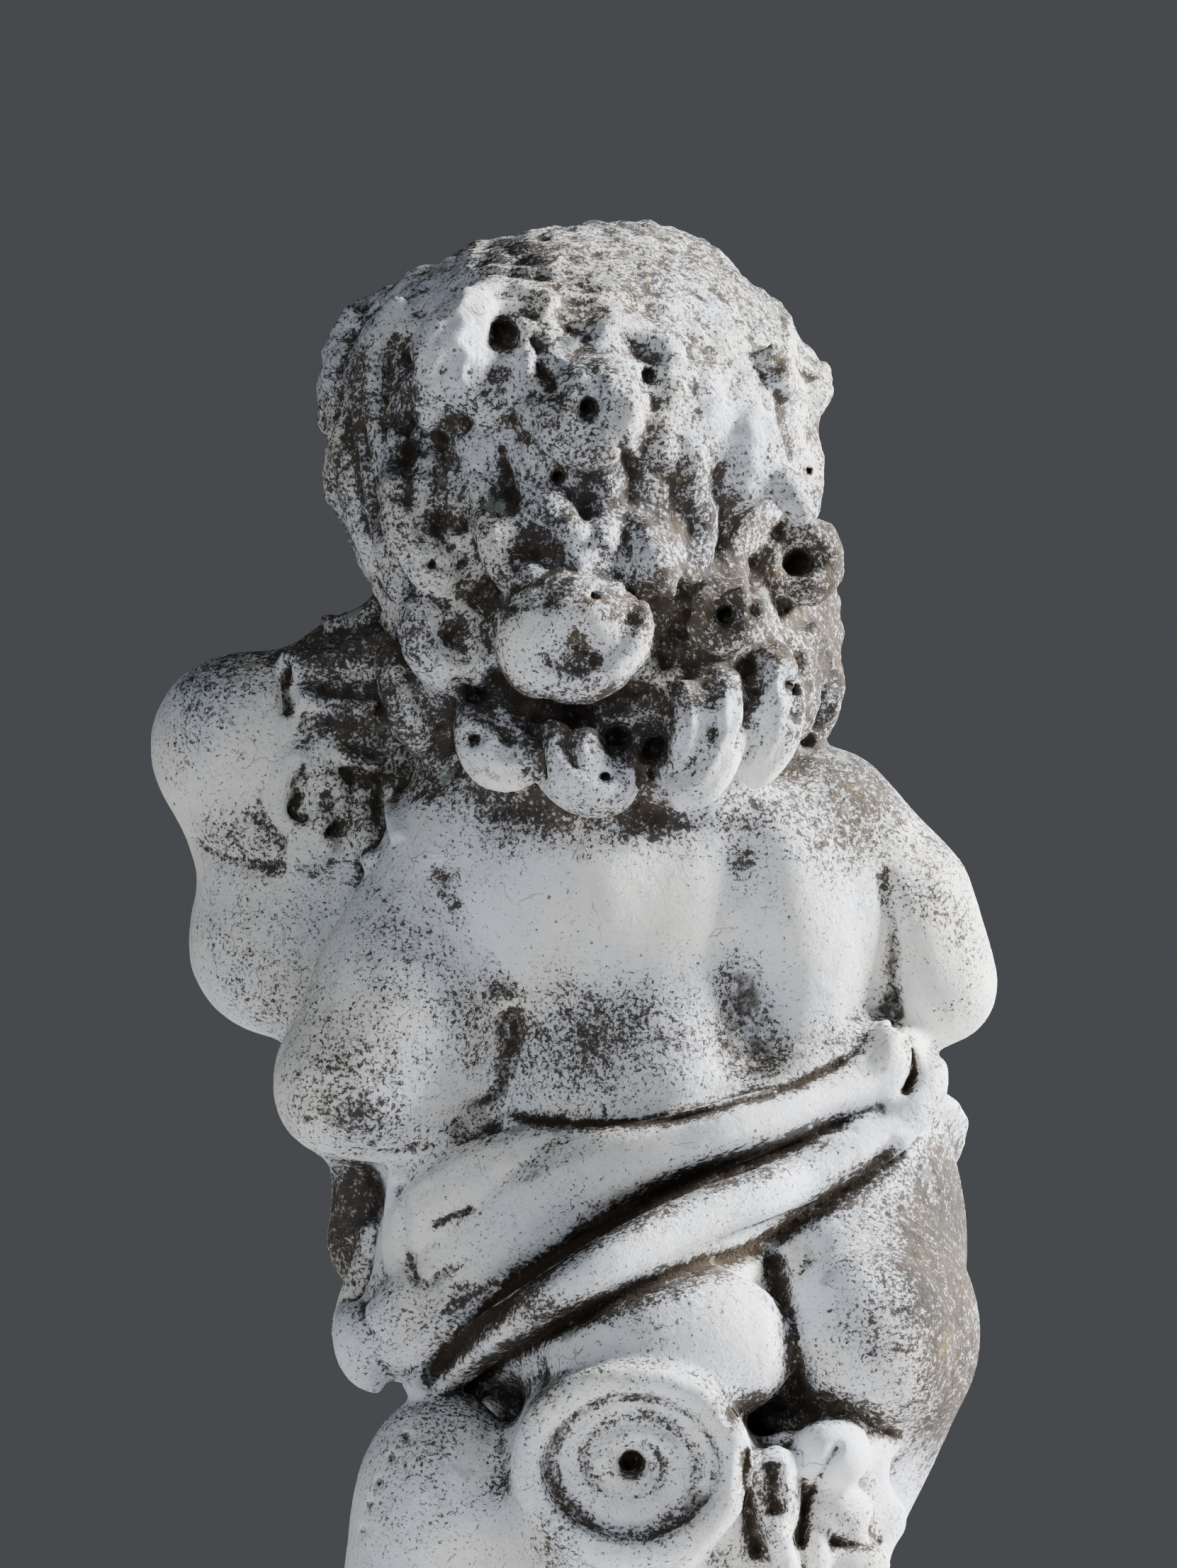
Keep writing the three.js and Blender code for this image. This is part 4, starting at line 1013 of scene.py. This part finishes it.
clay = Clay(statue)
place = clay.in_mm()
open_share = openness(statue)
seen_x, seen_z = clay.seen()
from_behind = np.clip(clay.normals[:, 1] * 2 + 0.6, 0, 1)
from_behind *= np.clip((place[:, 1] - STAINED_HALF) / 30, 0, 1)
stain_and_shade = np.zeros(len(place))
for *patch, strength in STAINS_AND_SHADOWS:
    stain_and_shade = np.maximum(stain_and_shade, strength * mound(seen_x, seen_z, *patch))
for *patch, strength in CLEAN:
    stain_and_shade -= strength * mound(seen_x, seen_z, *patch)
stain_and_shade *= from_behind
elsewhere = np.clip(ripple(place, 130, 11) * 0.2 + 0.27, 0.05, 0.5)
stain_and_shade = stain_and_shade + elsewhere * (1 - from_behind)
# soil and painted shade along the creases, the parting, the leaf creases and the valleys between locks
soil_and_shade = np.zeros(len(place))
for points, width, _, strength in CREASES + PARTING + LEAF_CREASES:
    soil_and_shade = np.maximum(soil_and_shade, strength * clay.channel(points, width * 1.65))
for points, width, _ in VALLEYS:
    soil_and_shade = np.maximum(soil_and_shade, 0.5 * clay.channel(points, width * 1.8))
# A point lies in a bowl where the evened skin stands above it.
bowl = np.zeros(len(place))
even = clay.points.copy()
for passes, weight in ((3, 1.0), (12, 0.7)):
    for _ in range(passes):
        even += (clay.spread(even) - even) * 0.6
    bowl += weight * np.einsum("ij,ij->i", even - clay.points, clay.normals) / MM
for _ in range(3):
    stain_and_shade = clay.spread(stain_and_shade)
# the stains and the soil carry both dirt and painted shade to the material
keep(statue, "open", open_share)
keep(statue, "bowl", np.clip(bowl / 2.5 * 0.5 + 0.5, 0, 1))
keep(statue, "stain_and_shade", np.clip(stain_and_shade, -0.5, 1.2))
keep(statue, "rough", hair_share(clay))
keep(statue, "soil_and_shade", soil_and_shade)


# ---------------- stone
COOL_WHITE = (0.68, 0.715, 0.78, 1)
WARM_WHITE = (0.78, 0.765, 0.73, 1)
GREY = (0.56, 0.57, 0.60, 1)
BLACK_DIRT = (0.027, 0.019, 0.013, 1)
BROWN_DIRT = (0.048, 0.033, 0.020, 1)
WARM_FILM = (0.22, 0.19, 0.175, 1)
GREY_FILM = (0.24, 0.235, 0.235, 1)
PALE_LICHEN = (0.33, 0.37, 0.33, 1)
OCHRE_LICHEN = (0.20, 0.155, 0.055, 1)
# dark olive-brown of the soil and painted shade in the recesses
SOIL_AND_SHADE = (0.036, 0.026, 0.017, 1)
CRACK = (0.05, 0.044, 0.036, 1)


class Nodes:
    """Short names for building a material's node tree. Sizes are in millimetres of the statue."""

    def __init__(self, tree):
        self.tree = tree
        self.where = self.scaled(self.add("ShaderNodeTexCoord").outputs["Object"], 1 / MM)

    def add(self, kind, inputs=(), **settings):
        node = self.tree.nodes.new(kind)
        for name, value in settings.items():
            setattr(node, name, value)
        for name, value in dict(inputs).items():
            self.put(value, node.inputs[name])
        return node

    def put(self, value, socket):
        if isinstance(value, bpy.types.NodeSocket):
            self.tree.links.new(value, socket)
        else:
            socket.default_value = value

    def scaled(self, vector, factor):
        return self.add("ShaderNodeVectorMath", {0: vector, "Scale": factor}, operation="SCALE").outputs[0]

    def math(self, operation, a, b, clamp=False):
        return self.add("ShaderNodeMath", {0: a, 1: b}, operation=operation, use_clamp=clamp).outputs[0]

    def plus(self, a, b):
        return self.math("ADD", a, b)

    def minus(self, a, b):
        return self.math("SUBTRACT", a, b)

    def times(self, a, b):
        return self.math("MULTIPLY", a, b)

    def larger(self, a, b):
        return self.math("MAXIMUM", a, b)

    def ramp(self, value, low, high, to_low=0.0, to_high=1.0):
        inputs = {"Value": value, "From Min": low, "From Max": high, "To Min": to_low, "To Max": to_high}
        return self.add("ShaderNodeMapRange", inputs, interpolation_type="SMOOTHSTEP").outputs["Result"]

    def blend(self, share, a, b):
        node = self.add("ShaderNodeMix", {"Factor": share}, data_type="RGBA")
        self.put(a, node.inputs[6])
        self.put(b, node.inputs[7])
        return node.outputs[2]

    def noise(self, size, detail=4.0, rough=0.55):
        """Noise with features of about `size`, from 0 to 1."""
        inputs = {"Vector": self.where, "Scale": 1 / size, "Detail": detail, "Roughness": rough}
        return self.add("ShaderNodeTexNoise", inputs).outputs["Fac"]

    def waver(self, reach, size, detail=4.0, rough=0.55):
        """Noise about zero, at most half of `reach` to either side."""
        return self.times(self.minus(self.noise(size, detail, rough), 0.5), reach)

    def patches(self, low, high, size, detail=4.0, rough=0.55, most=1.0):
        """Patches of noise: 0 where it is below `low`, `most` where it is above `high`."""
        return self.ramp(self.noise(size, detail, rough), low, high, 0.0, most)

    def cells(self, size, feature="F1", where=None):
        """How far it is to the middle (or to the edge) of cells scattered over the stone."""
        inputs = {"Vector": self.where if where is None else where, "Scale": 1 / size}
        return self.add("ShaderNodeTexVoronoi", inputs, feature=feature).outputs["Distance"]

    def value(self, name):
        return self.add("ShaderNodeAttribute", attribute_name=name).outputs["Fac"]


def stone():
    """Pale worn stone under specks and films of dirt, with lichen, soil and painted shade in the recesses,
    cracks and pinholes.
    """
    material = bpy.data.materials.new("weathered stone")
    material.use_nodes = True
    shader = material.node_tree.nodes["Principled BSDF"]
    n = Nodes(material.node_tree)
    open_share, bowl, stain_and_shade = n.value("open"), n.value("bowl"), n.value("stain_and_shade")
    rough, crease_soil_and_shade = n.value("rough"), n.value("soil_and_shade")
    normal = n.add("ShaderNodeNewGeometry").outputs["Normal"]
    up = n.add("ShaderNodeSeparateXYZ", {"Vector": normal}).outputs["Z"]

    # clean stone: cool white, warmer in drifts
    clean = n.blend(n.patches(0.4, 0.62, 60, 3), COOL_WHITE, WARM_WHITE)
    clean = n.blend(n.patches(0.35, 0.7, 9, 5, 0.65, 0.35), clean, GREY)

    # how thickly dirt lies, with painted shade where the stone is closed in from the air and along the
    # creases
    thick = n.plus(n.times(stain_and_shade, 0.80), n.times(n.ramp(bowl, 0.5, 0.68), 0.26))
    # painted shade: the dirt thickens where little of the air around is open
    thick = n.plus(thick, n.times(n.ramp(open_share, 0.58, 0.24), 0.4))
    thick = n.plus(thick, n.plus(n.times(rough, 0.34), n.times(n.ramp(up, 0.3, 0.95), 0.22)))
    # the soil and painted shade of the creases thicken it too
    thick = n.plus(thick, n.times(crease_soil_and_shade, 0.45))
    thick = n.plus(thick, n.waver(0.8, 34, 4, 0.6))
    thick = n.math("ADD", thick, 0.11, True)

    def specks(size, roughness, bare, covered, edge):
        """Specks that close up as the dirt thickens; the noise must pass a limit from bare to covered."""
        limit = n.ramp(thick, 0.0, 1.0, bare, covered)
        return n.ramp(n.minus(n.noise(size, 7, roughness), limit), -0.005, edge)

    # fine black specks, clumped specks and broad soft grime
    fine = n.times(specks(1.7, 0.76, 0.625, 0.445, 0.03), 0.92)
    clumps = n.times(specks(4.4, 0.74, 0.68, 0.47, 0.035), 0.94)
    dirt = n.larger(fine, clumps)
    film = n.times(n.ramp(thick, 0.15, 1.0), 0.26)
    veil = n.minus(n.noise(4.5, 7, 0.75), n.ramp(thick, 0.0, 1.0, 0.64, 0.36))
    veil = n.ramp(veil, -0.06, 0.14, 0.0, 0.34)
    grime = n.blend(n.patches(0.4, 0.62, 14, 3), WARM_FILM, GREY_FILM)
    color = n.blend(n.larger(film, veil), clean, grime)
    color = n.blend(dirt, color, n.blend(n.patches(0.42, 0.6, 22, 3), BLACK_DIRT, BROWN_DIRT))

    # lichen: pale grey-green discs and traces of ochre on the rough upper parts
    disc = n.times(n.ramp(n.plus(n.cells(17), n.waver(0.5, 4)), 0.3, 0.2), n.patches(0.5, 0.58, 40, 2))
    disc = n.times(disc, n.times(n.ramp(up, 0.1, 0.6), 0.75))
    color = n.blend(disc, color, PALE_LICHEN)
    ochre = n.times(n.patches(0.62, 0.7, 11, 5, 0.7), n.ramp(thick, 0.3, 0.8, 0.0, 0.55))
    color = n.blend(ochre, color, OCHRE_LICHEN)

    # deep recesses, creases and places closed in from the air get dark olive-brown soil and painted shade
    soil_and_shade = n.ramp(n.plus(open_share, n.waver(0.8, 4, 6, 0.7)), 0.31, 0.13)
    soil_and_shade = n.larger(soil_and_shade, n.times(n.ramp(bowl, 0.68, 0.9), n.patches(0.3, 0.55, 6)))
    ragged = n.plus(n.plus(crease_soil_and_shade, n.waver(1.7, 3.0, 7, 0.75)), n.waver(1.2, 12, 2))
    soil_and_shade = n.larger(soil_and_shade, n.ramp(ragged, 0.62, 0.78))
    color = n.blend(n.times(soil_and_shade, 0.9), color, SOIL_AND_SHADE)

    # hairline cracks, wandering along the edges of bent cells, and pinholes
    wobble = n.add("ShaderNodeTexNoise", {"Vector": n.where, "Scale": 1 / 8, "Detail": 3.0})
    wobble = n.scaled(wobble.outputs["Color"], 10.0)
    bent = n.add("ShaderNodeVectorMath", {0: n.where, 1: wobble}, operation="ADD").outputs[0]
    edge = n.cells(26, "DISTANCE_TO_EDGE", bent)
    crack = n.times(n.ramp(edge, 0.009, 0.002, 0.0, 0.6), n.patches(0.55, 0.64, 28, 2))
    hole = n.times(n.ramp(n.cells(9), 0.11, 0.06), n.patches(0.52, 0.56, 16, 2))
    mark = n.larger(crack, hole)
    color = n.blend(n.times(mark, 0.75), color, CRACK)
    n.put(color, shader.inputs["Base Color"])
    n.put(n.ramp(dirt, 0.0, 1.0, 0.72, 0.95), shader.inputs["Roughness"])
    shader.inputs["Specular IOR Level"].default_value = 0.12

    # grain and small lumps, stronger where the stone is rough or dirty
    worn = n.larger(rough, thick)
    grain = n.times(n.noise(1.6, 5, 0.7), n.ramp(worn, 0.0, 1.0, 0.35, 1.5))
    lumps = n.times(n.noise(6, 4, 0.6), n.ramp(worn, 0.0, 1.0, 0.6, 3.2))
    height = n.minus(n.plus(grain, lumps), n.times(mark, 1.2))
    height = n.plus(height, n.times(dirt, 0.35))
    bump = n.add("ShaderNodeBump", {"Height": height, "Distance": MM, "Strength": 0.9})
    n.put(bump.outputs["Normal"], shader.inputs["Normal"])
    return material


statue.data.materials.append(stone())
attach(statue, "root")
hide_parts(NODE)


# ---------------- floor, light and camera
def pale_floor():
    material = bpy.data.materials.new("pale floor")
    material.use_nodes = True
    shader = material.node_tree.nodes["Principled BSDF"]
    shader.inputs["Base Color"].default_value = (0.6, 0.6, 0.6, 1)
    shader.inputs["Roughness"].default_value = 0.9
    return material


bpy.ops.mesh.primitive_plane_add(size=2.4, location=(0, 0, node_low.z))
floor = bpy.context.object
floor.name = "floor"
floor.data.materials.append(pale_floor())

world = bpy.data.worlds.new("studio")
world.use_nodes = True
sky = world.node_tree.nodes["Background"]
sky.inputs["Color"].default_value = (0.78, 0.82, 0.90, 1)
sky.inputs["Strength"].default_value = 0.09
bpy.context.scene.world = world

LIT_PLACE = at(0, 0, 560)


def lamp(name, place, size, power, color):
    """A square lamp aimed at the figure's upper back."""
    bpy.ops.object.light_add(type="AREA", location=place)
    light = bpy.context.object
    light.name = name
    light.data.size = size
    light.data.energy = power
    light.data.color = color
    light.rotation_euler = (LIT_PLACE - Vector(place)).to_track_quat("-Z", "Y").to_euler()


lamp("key", (-2.9, -0.2, 1.95), 0.8, 820, (1.0, 0.995, 0.98))
lamp("fill", (1.3, 2.8, 1.8), 2.0, 35, (0.88, 0.94, 1.0))

CAMERA_DISTANCE = 3.0
FRAME_WIDTH = 498 * MM  # what the camera spans sideways at the SEEN_PLANE
SENSOR_WIDTH = 36
camera_data = bpy.data.cameras.new("camera")
camera = bpy.data.objects.new("camera", camera_data)
bpy.context.scene.collection.objects.link(camera)
camera.location = ONLOOKER
camera.rotation_euler = (radians(90), 0, radians(180))
camera_data.sensor_fit = "HORIZONTAL"
camera_data.sensor_width = SENSOR_WIDTH
camera_data.lens = SENSOR_WIDTH * CAMERA_DISTANCE / FRAME_WIDTH
bpy.context.scene.camera = camera
